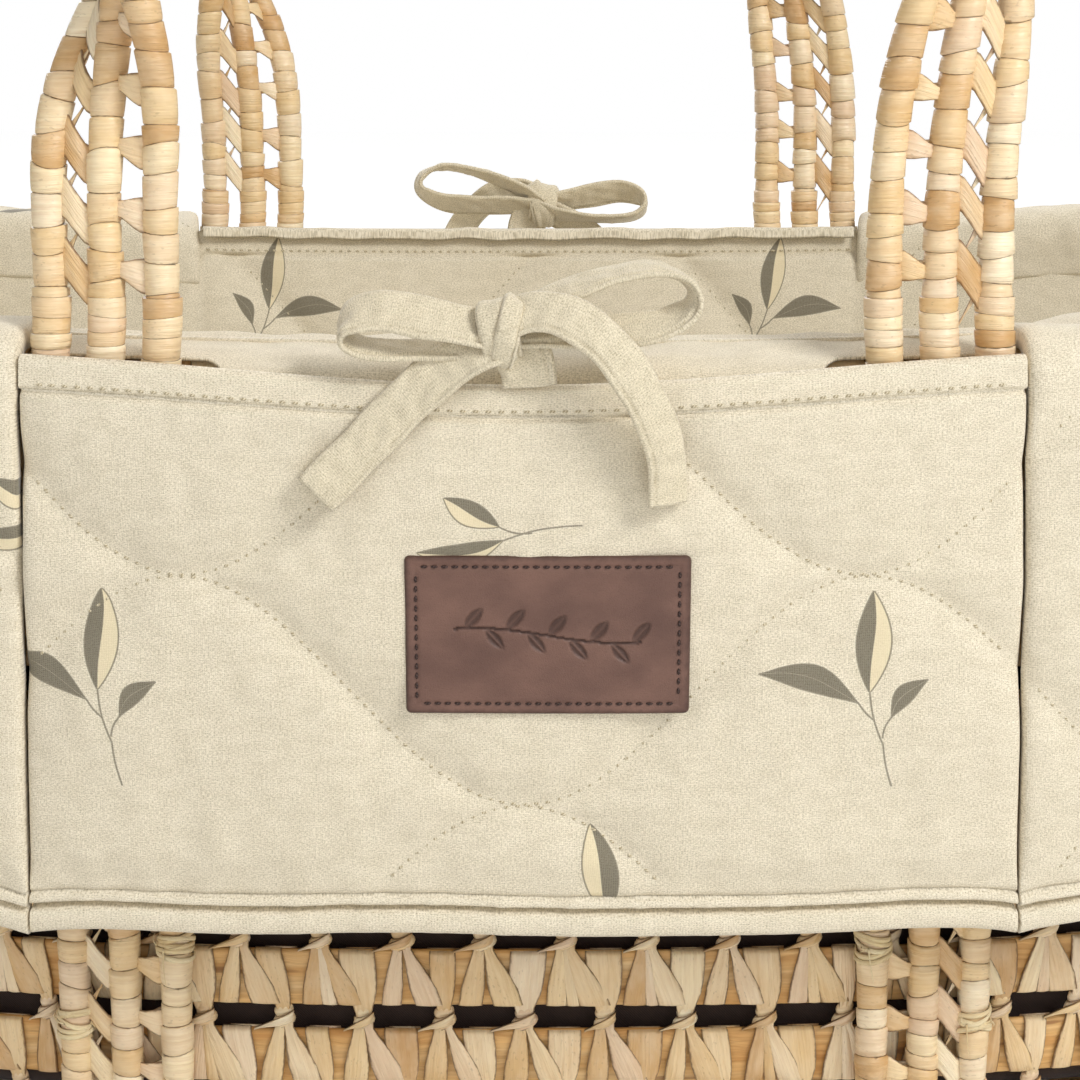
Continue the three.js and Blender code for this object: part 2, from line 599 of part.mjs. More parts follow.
// ---- the basket ---------------------------------------------------------------------------------
addWovenBody();
for (const [side, sideName] of [[-1, "front"], [1, "back"]]) {
  for (const [end, endName] of [[-1, "left"], [1, "right"]]) {
    addStraps(end, side, `${sideName}_${endName}`);
  }
  addHandle(side, sideName);
}
addLiner();
addSkirts();
addPatch();
addBows();

export default basket;
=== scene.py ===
"""The looks of a moses basket: woven wall, laced handles, quilted liner with bows, patch and mattress.

Lengths are in millimetres until a mesh is made, and in metres after that. An "offset" is the level
distance outwards from the outer face of the woven wall, a "turn" is an angle round the plan, and a
"run" is a length along the rim, counted from the middle of the front side towards the head end.
"""
import logging
import math
from collections.abc import Callable, Sequence
from dataclasses import dataclass, replace
from enum import Enum
from functools import cache, cached_property

import bmesh
import bpy
import numpy as np
from mathutils import Matrix, Vector


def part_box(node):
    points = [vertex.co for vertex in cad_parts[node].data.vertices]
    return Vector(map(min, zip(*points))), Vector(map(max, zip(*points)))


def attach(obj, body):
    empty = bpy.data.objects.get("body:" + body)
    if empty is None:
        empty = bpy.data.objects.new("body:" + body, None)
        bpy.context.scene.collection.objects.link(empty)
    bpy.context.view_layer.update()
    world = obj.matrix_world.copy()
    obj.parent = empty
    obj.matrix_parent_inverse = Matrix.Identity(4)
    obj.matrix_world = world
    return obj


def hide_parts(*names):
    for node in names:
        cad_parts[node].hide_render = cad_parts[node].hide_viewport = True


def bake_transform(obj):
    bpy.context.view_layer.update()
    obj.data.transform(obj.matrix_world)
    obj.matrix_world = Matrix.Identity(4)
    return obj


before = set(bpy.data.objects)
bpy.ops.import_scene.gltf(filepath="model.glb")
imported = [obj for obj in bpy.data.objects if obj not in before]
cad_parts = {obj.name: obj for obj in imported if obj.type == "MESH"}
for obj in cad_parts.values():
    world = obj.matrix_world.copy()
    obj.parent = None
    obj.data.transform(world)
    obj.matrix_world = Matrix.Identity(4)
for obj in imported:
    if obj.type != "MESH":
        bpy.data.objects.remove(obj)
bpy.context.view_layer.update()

MM = 0.001
GAP = 0.3
TAU = 2 * math.pi
SEED = 20261

log = logging.getLogger("moses_basket")


class Side(Enum):
    """The long side that a handle belongs to."""

    FRONT = -1
    BACK = 1


class End(Enum):
    """Which of a handle's two legs, seen from the front."""

    LEFT = -1
    RIGHT = 1


class Rod(Enum):
    """A rod's place in a strap; the inner one is nearest the middle of the basket."""

    INNER = -1
    MIDDLE = 0
    OUTER = 1


def signed_power(value: np.ndarray, power: float) -> np.ndarray:
    """The value's size raised to a power, with its sign kept."""
    return np.sign(value) * np.abs(value) ** power


def ease(value: np.ndarray, start: float, end: float) -> np.ndarray:
    """A smooth step from 0 at start to 1 at end."""
    share = np.clip((value - start) / (end - start), 0, 1)
    return share * share * (3 - 2 * share)


def mixed(start: np.ndarray, end: np.ndarray, share: np.ndarray) -> np.ndarray:
    """The value a share of the way from start to end."""
    return start + (end - start) * share


def ripples(first: np.ndarray, second: np.ndarray, seed: int, waves: int = 7) -> np.ndarray:
    """Gentle irregular waves over two coordinates, from about -1 to 1.

    Args:
        first: one coordinate, in wavelengths.
        second: the other, in wavelengths.
        seed: chooses the pattern.
        waves: how many plain waves are added up.

    Returns:
        A height for each pair of coordinates.
    """
    dice = np.random.default_rng(seed)
    total = np.zeros(np.broadcast(first, second).shape)
    for _ in range(waves):
        heading, stretch, phase = dice.uniform(0, TAU), dice.uniform(0.6, 1.7), dice.uniform(0, TAU)
        total += np.sin(TAU * stretch * (first * math.cos(heading) + second * math.sin(heading)) + phase)
    return total / math.sqrt(waves)


# ---- the shape that everything follows ------------------------------------------------------------
@dataclass(frozen=True)
class OvalWall:
    """The woven wall: an oval that leans out from the base to a rim that climbs at the ends."""

    rim_length: float = 796.0
    rim_width: float = 406.0
    end_flare: float = 26.0
    side_flare: float = 38.0
    side_height: float = 258.0
    end_rise: float = 36.0
    rise_power: float = 3.0
    oval_power: float = 2.35
    thickness: float = 9.0
    base_thickness: float = 12.0
    course_count: int = 8
    course_height: float = 20.5
    rim_diameter: float = 16.0
    samples: int = 3600

    def rim_top(self, turn: np.ndarray) -> np.ndarray:
        """How high the rim's top is at a turn."""
        along = np.abs(np.cos(turn)) ** (2 / self.oval_power)
        return self.side_height + self.end_rise * along**self.rise_power

    def face(self, turn: np.ndarray, height: np.ndarray) -> tuple[np.ndarray, np.ndarray]:
        """The wall's outer face at turns and heights.

        Returns:
            The points, and the level directions that they face.
        """
        turn, height = np.broadcast_arrays(np.asarray(turn, float), np.asarray(height, float))
        share = height / self.rim_top(turn)
        a = self.rim_length / 2 - self.end_flare * (1 - share)
        b = self.rim_width / 2 - self.side_flare * (1 - share)
        x = a * signed_power(np.cos(turn), 2 / self.oval_power)
        y = b * signed_power(np.sin(turn), 2 / self.oval_power)
        facing = np.stack(
            [
                signed_power(x / a, self.oval_power - 1) / a,
                signed_power(y / b, self.oval_power - 1) / b,
                np.zeros_like(x),
            ],
            axis=-1,
        )
        facing /= np.linalg.norm(facing, axis=-1, keepdims=True)
        return np.stack([x, y, height], axis=-1), facing

    def point(self, turn: np.ndarray, height: np.ndarray, offset: np.ndarray) -> np.ndarray:
        """Points at turns, heights and offsets."""
        points, facing = self.face(turn, height)
        return points + facing * np.asarray(offset)[..., None]

    def turn_at(self, x: np.ndarray, height: np.ndarray) -> np.ndarray:
        """The turn, from 0 to pi, at which the wall is at x at a height."""
        a = self.rim_length / 2 - self.end_flare * (1 - height / self.side_height)
        return np.arccos(signed_power(x / a, self.oval_power / 2))

    @cached_property
    def _lengths(self) -> tuple[np.ndarray, np.ndarray]:
        """Runs along the rim and the turns they belong to, once round from the front's middle."""
        turns = np.linspace(-math.pi / 2, 1.5 * math.pi, self.samples + 1)
        points = self.point(turns, self.rim_top(turns), np.zeros_like(turns))
        steps = np.linalg.norm(np.diff(points, axis=0), axis=-1)
        return np.concatenate([[0], np.cumsum(steps)]), turns

    @property
    def perimeter(self) -> float:
        """The rim's length once round."""
        return float(self._lengths[0][-1])

    def turn_of(self, run: np.ndarray) -> np.ndarray:
        """The turn at a run along the rim."""
        lengths, turns = self._lengths
        laps = np.floor(run / self.perimeter)
        return np.interp(run - laps * self.perimeter, lengths, turns) + laps * TAU

    def run_of(self, turn: np.ndarray) -> np.ndarray:
        """The run at a turn from -pi/2 to 3 pi/2."""
        lengths, turns = self._lengths
        return np.interp(turn, turns, lengths)

    def course(self, turn: np.ndarray, number: float) -> tuple[np.ndarray, np.ndarray]:
        """The heights of the lower and upper edge of a course, the lowest being number 1."""
        room = self.rim_top(turn) - self.rim_diameter - self.base_thickness
        gap = (room - self.course_count * self.course_height) / (self.course_count + 1)
        lower = self.base_thickness + number * gap + (number - 1) * self.course_height
        return lower, lower + self.course_height

    def gap_height(self, turn: np.ndarray) -> np.ndarray:
        """The height of the gap between two courses."""
        return self.course(turn, 2)[0] - self.course(turn, 1)[1]


WALL = OvalWall()


@dataclass(frozen=True)
class Fit:
    """Where cloth, straps and handles sit on the wall, as offsets and heights."""

    rod_diameter: float = 9.6
    rod_pitch: float = 16.3
    leg_x: float = 119.5
    strap_clearance: float = 1.4
    slit_clearance: float = 1.5
    flap_rise: float = 4.0
    fold_above_flap: float = 8.0
    fold_forward: float = 8.2
    fold_gap_above: float = 2.0
    fold_gap_below: float = 11.0
    cloth: float = 5.0
    skirt_drop: float = 178.0
    skirt_lean: float = 12.0
    cloth_top: float = -1.5
    cloth_bottom: float = 172.6

    @property
    def seam_x(self) -> float:
        """Where the middle flap meets the end panels, along X."""
        return self.leg_x + self.rod_pitch + self.rod_diameter / 2 + self.slit_clearance

    @property
    def rim_offset(self) -> float:
        """How far the rim stands proud of the wall."""
        return (WALL.rim_diameter - WALL.thickness) / 2

    @property
    def foot_offset(self) -> float:
        """The rods' centres beside the wall."""
        return GAP + self.rod_diameter / 2

    @property
    def strap_offset(self) -> float:
        """The rods' centres beside the rim."""
        return self.rim_offset + self.foot_offset

    @property
    def skirt_offset(self) -> float:
        """The inner face of the skirt and flaps."""
        return self.rim_offset + GAP + self.rod_diameter + self.strap_clearance

    def drawn_in(self, depth: np.ndarray) -> np.ndarray:
        """How far the hanging cloth is drawn in at a depth below the rim's top."""
        start = WALL.rim_diameter
        return self.skirt_lean * np.maximum(0.0, depth - start) / (self.skirt_drop - start)

    @property
    def flap_top(self) -> float:
        """The height of the flap's hemmed edge."""
        return WALL.side_height + self.flap_rise

    @property
    def fold_height(self) -> float:
        """The height of the line that a handle folds on."""
        return self.flap_top + self.fold_above_flap

    @property
    def leg_bottom(self) -> float:
        """Where the handle's own rods begin."""
        return self.fold_height + self.fold_gap_above

    @property
    def strap_top(self) -> float:
        """Where the rods on the wall end."""
        return self.fold_height - self.fold_gap_below


FIT = Fit()


# ---- gathering meshes -----------------------------------------------------------------------------
class Draft:
    """Points and faces gathered for one mesh, with a layout, a shade and an edge mark for each point.

    The layout is in metres along and across a leaf, slat or cloth. The shade, 0 to 1, tells one leaf
    from the next, and the edge mark is 1 where a leaf's border lies.
    """

    def __init__(self) -> None:
        """Starts with nothing."""
        self.points: list[np.ndarray] = []
        self.layouts: list[np.ndarray] = []
        self.marks: list[np.ndarray] = []
        self.quads: list[np.ndarray] = []
        self.slots: list[np.ndarray] = []
        self.caps: list[tuple[int, ...]] = []
        self.cap_slots: list[int] = []
        self.count = 0

    def _keep(self, points: np.ndarray, layout: np.ndarray, shade: np.ndarray, edge: np.ndarray) -> int:
        """Stores points and returns the number of the first."""
        shape = points.shape[:-1]
        marks = np.stack([np.broadcast_to(shade, shape), np.broadcast_to(edge, shape)], axis=-1)
        self.points.append(points.reshape(-1, 3))
        self.layouts.append(np.broadcast_to(layout, shape + (2,)).reshape(-1, 2) * MM)
        self.marks.append(marks.reshape(-1, 2))
        first = self.count
        self.count += self.points[-1].shape[0]
        return first

    def faces(self, numbers: np.ndarray, slot: int) -> None:
        """Stores the faces of a grid of point numbers, or of a stack of grids."""
        quads = np.stack(
            [numbers[..., :-1, :-1], numbers[..., 1:, :-1], numbers[..., 1:, 1:], numbers[..., :-1, 1:]],
            axis=-1,
        ).reshape(-1, 4)
        self.quads.append(quads)
        self.slots.append(np.full(len(quads), slot))

    def grid(
        self,
        points: np.ndarray,
        layout: np.ndarray,
        shade: np.ndarray = 0.5,
        edge: np.ndarray = 0.0,
        slot: int = 0,
    ) -> np.ndarray:
        """Adds an open grid of points and returns their numbers."""
        first = self._keep(points, layout, shade, edge)
        numbers = np.arange(first, self.count).reshape(points.shape[:-1])
        self.faces(numbers, slot)
        return numbers

    def tubes(
        self,
        points: np.ndarray,
        layout: np.ndarray,
        shade: np.ndarray = 0.5,
        edge: np.ndarray = 0.0,
        slot: int = 0,
    ) -> None:
        """Adds capped tubes.

        Args:
            points: tubes by rings by points round a ring, the first point repeated as the last.
            layout: the layout of each point.
            shade: the shade of each point.
            edge: the edge mark of each point.
            slot: the number of the finish.
        """
        numbers = self.grid(points, layout, shade, edge, slot)
        for tube in numbers:
            self.caps.append(tuple(tube[0, :-1][::-1]))
            self.caps.append(tuple(tube[-1, :-1]))
            self.cap_slots += [slot, slot]

    def shell(
        self,
        outer: np.ndarray,
        inner: np.ndarray,
        layout: np.ndarray,
        slot: int = 0,
        lining: int = 0,
        ring: bool = False,
    ) -> None:
        """Adds a sheet with two faces and closed edges.

        Args:
            outer: the grid of points of the face that shows.
            inner: the grid of the other face.
            layout: the layout of each point.
            slot: the finish of the face that shows.
            lining: the finish of the other face.
            ring: whether the last station meets the first, so that those edges stay open.
        """
        front = self.grid(outer, layout, slot=slot)
        back = self.grid(inner[::-1], layout[::-1], slot=lining)[::-1]
        rims = [(front[:, 0], back[:, 0]), (back[:, -1], front[:, -1])]
        if not ring:
            rims += [(back[0], front[0]), (front[-1], back[-1])]
        for one, other in rims:
            self.faces(np.stack([one, other], axis=0), slot)

    def piece(self, name: str, finishes: Sequence["Finish"], weld: float = 0.004) -> bpy.types.Object:
        """Makes the mesh and its object, in metres.

        Args:
            name: the piece's name.
            finishes: the finishes that slot numbers stand for.
            weld: points closer than this become one.

        Returns:
            The new object, linked to the scene.
        """
        mesh = bpy.data.meshes.new(name)
        quads = np.concatenate(self.quads)
        mesh.from_pydata((np.concatenate(self.points) * MM).tolist(), [], quads.tolist() + self.caps)
        corners = np.empty(len(mesh.loops), np.int32)
        mesh.loops.foreach_get("vertex_index", corners)
        layer = mesh.uv_layers.new(name="layout")
        layer.data.foreach_set("uv", np.concatenate(self.layouts)[corners].ravel().astype(np.float32))
        for column, label in enumerate(("shade", "edge")):
            attribute = mesh.attributes.new(label, "FLOAT", "POINT")
            attribute.data.foreach_set("value", np.concatenate(self.marks)[:, column].astype(np.float32))
        for finish in finishes:
            mesh.materials.append(finish.material())
        slots = np.concatenate([*self.slots, np.array(self.cap_slots, int)])
        mesh.polygons.foreach_set("material_index", slots.astype(np.int32))
        body = bmesh.new()
        body.from_mesh(mesh)
        bmesh.ops.remove_doubles(body, verts=body.verts, dist=weld * MM)
        bmesh.ops.dissolve_degenerate(body, edges=body.edges, dist=weld * MM)
        bmesh.ops.recalc_face_normals(body, faces=body.faces)
        body.to_mesh(mesh)
        body.free()
        mesh.shade_smooth()
        piece = bpy.data.objects.new(name, mesh)
        bpy.context.scene.collection.objects.link(piece)
        return piece


def turned_round(piece: bpy.types.Object, name: str) -> bpy.types.Object:
    """A copy of a piece turned half round, for the opposite side or end."""
    mesh = piece.data.copy()
    mesh.name = name
    mesh.transform(Matrix.Rotation(math.pi, 4, "Z"))
    copy = bpy.data.objects.new(name, mesh)
    bpy.context.scene.collection.objects.link(copy)
    return copy


def place(piece: bpy.types.Object, body: str, slot: str, *nodes: str) -> bpy.types.Object:
    """Lets a piece ride on a body and stand for CAD nodes."""
    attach(piece, body)
    if nodes:
        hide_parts(*nodes)
    log.info("%s: %d faces", piece.name, len(piece.data.polygons))
    return piece


# ---- shader node helpers --------------------------------------------------------------------------
Socket = bpy.types.NodeSocket
Feed = Socket | float | tuple[float, ...]


def tint(code: str) -> tuple[float, float, float, float]:
    """A scene colour from a screen colour written as six hexadecimal digits."""
    parts = [int(code[place : place + 2], 16) / 255 for place in (0, 2, 4)]
    linear = [part / 12.92 if part <= 0.04045 else ((part + 0.055) / 1.055) ** 2.4 for part in parts]
    return linear[0], linear[1], linear[2], 1.0


class Nodes:
    """Short ways to add and join nodes in one tree."""

    def __init__(self, tree: bpy.types.NodeTree) -> None:
        """Works in a tree."""
        self.tree = tree

    def feed(self, socket: Socket, source: Feed) -> None:
        """Links a source to a socket, or sets the socket's value."""
        if isinstance(source, Socket):
            self.tree.links.new(source, socket)
        else:
            socket.default_value = source

    def add(
        self, kind: str, feeds: dict[str | int, Feed] | None = None, **settings: object
    ) -> bpy.types.Node:
        """Adds a node.

        Args:
            kind: the node's type, without the leading "ShaderNode".
            feeds: what each named or numbered input takes.
            settings: the node's own options.

        Returns:
            The new node.
        """
        node = self.tree.nodes.new("ShaderNode" + kind)
        for option, value in settings.items():
            setattr(node, option, value)
        for name, source in (feeds or {}).items():
            self.feed(node.inputs[name], source)
        return node

    def math(self, operation: str, *sources: Feed) -> Socket:
        """The result of a math operation."""
        return self.add("Math", dict(enumerate(sources)), operation=operation).outputs[0]

    def mix(self, share: Feed, start: Feed, end: Feed, blend: str = "MIX") -> Socket:
        """A colour between two, or one colour laid over another."""
        feeds = {0: share, 6: start, 7: end}
        return self.add("Mix", feeds, data_type="RGBA", blend_type=blend).outputs[2]

    def step(self, value: Feed, low: Feed, high: Feed, start: Feed = 0.0, end: Feed = 1.0) -> Socket:
        """A smooth step from start to end as a value goes from low to high."""
        feeds = {"Value": value, "From Min": low, "From Max": high, "To Min": start, "To Max": end}
        return self.add("MapRange", feeds, interpolation_type="SMOOTHSTEP").outputs[0]

    def layout(self) -> Socket:
        """The lengths along and across the piece, in metres."""
        return self.add("UVMap", uv_map="layout").outputs[0]

    def mark(self, name: str) -> Socket:
        """A number kept on the points of the piece."""
        return self.add("Attribute", attribute_name=name).outputs["Fac"]

    def scaled(self, vector: Feed, scale: tuple[float, float, float]) -> Socket:
        """A vector with each coordinate multiplied."""
        return self.add("VectorMath", {0: vector, 1: scale}, operation="MULTIPLY").outputs[0]

    def noise(self, vector: Socket, scale: Feed, detail: float = 2.0, roughness: float = 0.5) -> Socket:
        """Noise from about 0.3 to 0.7."""
        feeds = {"Vector": vector, "Scale": scale, "Detail": detail, "Roughness": roughness}
        return self.add("TexNoise", feeds).outputs[0]

    def ramp(self, value: Feed, stops: Sequence[tuple[float, str]]) -> Socket:
        """A colour from a row of colour stops."""
        node = self.add("ValToRGB", {0: value})
        elements = node.color_ramp.elements
        while len(elements) < len(stops):
            elements.new(0.5)
        for element, (place, code) in zip(elements, stops):
            element.position = place
            element.color = tint(code)
        return node.outputs[0]

    def group(self, tree: bpy.types.NodeTree, **feeds: Feed) -> bpy.types.Node:
        """Places a node group; an underscore in a name stands for a space."""
        node = self.tree.nodes.new("ShaderNodeGroup")
        node.node_tree = tree
        for name, source in feeds.items():
            self.feed(node.inputs[name.replace("_", " ")], source)
        return node

    def bump(self, height: Feed, distance: float) -> Socket:
        """A normal bent by a height, where 1 is a distance in metres."""
        return self.add("Bump", {"Height": height, "Distance": distance, "Strength": 1.0}).outputs[0]


class Effect:
    """A node group under construction, with its named sockets."""

    KINDS = {"vector": "NodeSocketVector", "number": "NodeSocketFloat", "colour": "NodeSocketColor"}

    def __init__(self, name: str, inputs: dict[str, str], outputs: dict[str, str]) -> None:
        """Makes an empty group.

        Args:
            name: the group's name.
            inputs: each input's kind by name.
            outputs: each output's kind by name.
        """
        self.tree = bpy.data.node_groups.new(name, "ShaderNodeTree")
        for in_out, sockets in (("INPUT", inputs), ("OUTPUT", outputs)):
            for label, kind in sockets.items():
                self.tree.interface.new_socket(name=label, in_out=in_out, socket_type=self.KINDS[kind])
        self.nodes = Nodes(self.tree)
        self.given = self.tree.nodes.new("NodeGroupInput").outputs
        self.result = self.tree.nodes.new("NodeGroupOutput").inputs

    def put(self, **results: Feed) -> bpy.types.NodeTree:
        """Feeds the group's outputs and returns its tree."""
        for name, source in results.items():
            self.nodes.feed(self.result[name], source)
        return self.tree


@cache
def fibre_effect() -> bpy.types.NodeTree:
    """Fine fibres that run along a leaf or slat, with slow changes of tone."""
    effect = Effect(
        "plant fibres",
        {"Layout": "vector", "Fibre": "number", "Waver": "number"},
        {"Streaks": "number", "Tone": "number", "Flecks": "number"},
    )
    nodes, given = effect.nodes, effect.given
    drift = nodes.noise(nodes.scaled(given["Layout"], (40, 40, 40)), 1.0)
    bent = nodes.add(
        "VectorMath",
        {0: (0, 1, 0), "Scale": nodes.math("MULTIPLY", drift, given["Waver"])},
        operation="SCALE",
    )
    wavy = nodes.add("VectorMath", {0: given["Layout"], 1: bent.outputs[0]}, operation="ADD").outputs[0]
    streaks = nodes.noise(nodes.scaled(wavy, (45, 900, 1)), given["Fibre"], detail=3, roughness=0.65)
    tone = nodes.noise(nodes.scaled(given["Layout"], (60, 130, 1)), 1.0, detail=3, roughness=0.6)
    specks = nodes.noise(nodes.scaled(given["Layout"], (520, 1100, 1)), 1.0, detail=1)
    patches = nodes.step(nodes.noise(nodes.scaled(given["Layout"], (70, 70, 1)), 1.0), 0.42, 0.62)
    flecks = nodes.math("MULTIPLY", nodes.step(specks, 0.63, 0.7), patches)
    return effect.put(
        Streaks=nodes.step(streaks, 0.3, 0.7), Tone=nodes.step(tone, 0.3, 0.7), Flecks=flecks
    )


@cache
def knit_effect() -> bpy.types.NodeTree:
    """Fine jersey knit: rows of small stitches with a fleck of darker yarn, and its fuzz."""
    effect = Effect(
        "jersey knit",
        {"Layout": "vector", "Stitch": "number"},
        {"Height": "number", "Fleck": "number", "Cloud": "number"},
    )
    nodes, given = effect.nodes, effect.given
    drift = nodes.add("TexNoise", {"Vector": given["Layout"], "Scale": 55.0, "Detail": 1.0}).outputs["Color"]
    sway = nodes.add("VectorMath", {0: drift, "Scale": 0.0035}, operation="SCALE").outputs[0]
    laid = nodes.add("VectorMath", {0: given["Layout"], 1: sway}, operation="ADD").outputs[0]
    parts = nodes.add("SeparateXYZ", {0: laid}).outputs
    turns = nodes.math("DIVIDE", TAU, given["Stitch"])
    wale = nodes.math("MULTIPLY", parts["X"], turns)
    half_wale = nodes.math("MULTIPLY", wale, 0.5)
    slant = nodes.math("MULTIPLY", nodes.math("ABSOLUTE", nodes.math("SINE", half_wale)), 1.7)
    row = nodes.math("MULTIPLY", parts["Y"], nodes.math("MULTIPLY", turns, 1.2))
    ribs = nodes.math("ABSOLUTE", nodes.math("COSINE", half_wale))
    rows = nodes.math("MULTIPLY_ADD", nodes.math("SINE", nodes.math("ADD", row, slant)), 0.5, 0.5)
    fuzz = nodes.noise(nodes.scaled(given["Layout"], (1500, 1500, 1)), 1.0, detail=2, roughness=0.7)
    height = nodes.math("ADD", nodes.math("MULTIPLY", ribs, 0.45), nodes.math("MULTIPLY", rows, 0.55))
    height = nodes.math("ADD", nodes.math("MULTIPLY", height, 0.6), nodes.math("MULTIPLY", fuzz, 0.55))
    fleck = nodes.noise(nodes.scaled(given["Layout"], (1500, 2600, 1)), 1.0, detail=2, roughness=0.7)
    cloud = nodes.noise(nodes.scaled(given["Layout"], (130, 260, 1)), 1.0, detail=2, roughness=0.6)
    return effect.put(
        Height=height, Fleck=nodes.step(fleck, 0.36, 0.66), Cloud=nodes.step(cloud, 0.3, 0.7)
    )


@cache
def edge_shade_and_wear_effect() -> bpy.types.NodeTree:
    """A mask of the darkened borders of a leaf or of leather, broken up by noise: on leaf it is painted
    contact shade where turns and blades overlap, together with a thin brown border line; on leather it is
    edge wear.
    """
    effect = Effect(
        "rubbed edge", {"Layout": "vector", "Edge": "number", "Reach": "number"}, {"Mask": "number"}
    )
    nodes, given = effect.nodes, effect.given
    grit = nodes.noise(nodes.scaled(given["Layout"], (500, 500, 1)), 1.0, detail=2)
    start = nodes.math("SUBTRACT", 1.0, given["Reach"])
    rough_edge = nodes.math("MULTIPLY_ADD", nodes.math("SUBTRACT", grit, 0.5), 0.7, given["Edge"])
    return effect.put(Mask=nodes.step(rough_edge, start, 1.0))


@cache
def leaf_effect() -> bpy.types.NodeTree:
    """One printed leaf: a lens with a bent middle, from its base to its tip, in millimetres."""
    numbers = ("Base X", "Base Y", "Angle", "Length", "Width", "Bend", "Full")
    effect = Effect(
        "printed leaf",
        {"Place": "vector"} | {name: "number" for name in numbers},
        {"Left": "number", "Right": "number", "Outline": "number"},
    )
    nodes, given = effect.nodes, effect.given
    base = nodes.add("CombineXYZ", {"X": given["Base X"], "Y": given["Base Y"]}).outputs[0]
    away = nodes.add("VectorMath", {0: given["Place"], 1: base}, operation="SUBTRACT").outputs[0]
    turned = nodes.add("VectorRotate", {"Vector": away, "Angle": given["Angle"]}, rotation_type="Z_AXIS")
    parts = nodes.add("SeparateXYZ", {0: turned.outputs[0]}).outputs
    share = nodes.math("DIVIDE", parts["Y"], given["Length"])
    arc = nodes.math("SINE", nodes.math("MULTIPLY", share, math.pi))
    middle = nodes.math("MULTIPLY", arc, given["Bend"])
    aside = nodes.math("SUBTRACT", parts["X"], middle)
    shaped = nodes.math("POWER", nodes.math("MAXIMUM", arc, 0.0), given["Full"])
    half = nodes.math("MULTIPLY", nodes.math("MULTIPLY", shaped, given["Width"]), 0.5)
    within = nodes.math(
        "MULTIPLY", nodes.math("GREATER_THAN", share, 0.0), nodes.math("LESS_THAN", share, 1.0)
    )
    margin = nodes.math("SUBTRACT", half, nodes.math("ABSOLUTE", aside))
    inside = nodes.math("MULTIPLY", nodes.step(margin, -0.12, 0.12), within)
    sway = nodes.math("MULTIPLY", nodes.math("SINE", nodes.math("MULTIPLY", share, TAU)), -0.35)
    left = nodes.step(nodes.math("SUBTRACT", aside, sway), 0.12, -0.12)
    line = nodes.math("MULTIPLY", nodes.step(nodes.math("ABSOLUTE", margin), 0.34, 0.14), within)
    return effect.put(
        Left=nodes.math("MULTIPLY", inside, left),
        Right=nodes.math("MULTIPLY", inside, nodes.math("SUBTRACT", 1.0, left)),
        Outline=line,
    )


@dataclass(frozen=True)
class PrintedLeaf:
    """Where one leaf of a sprig lies, in millimetres from the fork of its stem."""

    base: tuple[float, float]
    tip: tuple[float, float]
    width: float
    bend: float
    full: float
    pale: bool

    @property
    def length(self) -> float:
        """From base to tip."""
        return math.dist(self.base, self.tip)

    @property
    def angle(self) -> float:
        """The turn that brings the leaf's axis upright."""
        return math.atan2(self.tip[0] - self.base[0], self.tip[1] - self.base[1])


LINE_STRENGTH = 0.85
UPRIGHT_SPRIG = (
    PrintedLeaf((-3.4, 9.6), (-2.3, 37.8), 9.2, 0.4, 0.85, True),
    PrintedLeaf((-6.3, 6.6), (-32.5, 15.6), 7.4, 3.2, 1.15, False),
    PrintedLeaf((2.3, 2.2), (12.0, 12.6), 5.0, -1.9, 1.15, False),
)
UPRIGHT_STEMS = (((-3.4, 9.6), (0.2, -5.5), 0.7), ((0.2, -5.5), (2.6, -17.8), 0.4),
                 ((-6.3, 6.6), (-2.2, 1.6), 0.3), ((2.3, 2.2), (0.0, -3.6), 0.5))
LEANING_SPRIG = (PrintedLeaf((-2.3, 37.8), (-3.4, 9.6), 9.2, -0.4, 0.85, True), *UPRIGHT_SPRIG[1:])
SIDEWAYS_SPRIG = (
    PrintedLeaf((-23.0, 10.4), (-8.6, 1.8), 7.4, 0.6, 0.9, True),
    PrintedLeaf((-30.0, -6.4), (-7.6, -2.4), 6.6, 2.6, 0.9, True),
)
SIDEWAYS_STEMS = (((-8.6, 1.8), (0.0, 0.0), 0.9), ((-7.6, -2.4), (13.0, 2.3), -1.3))


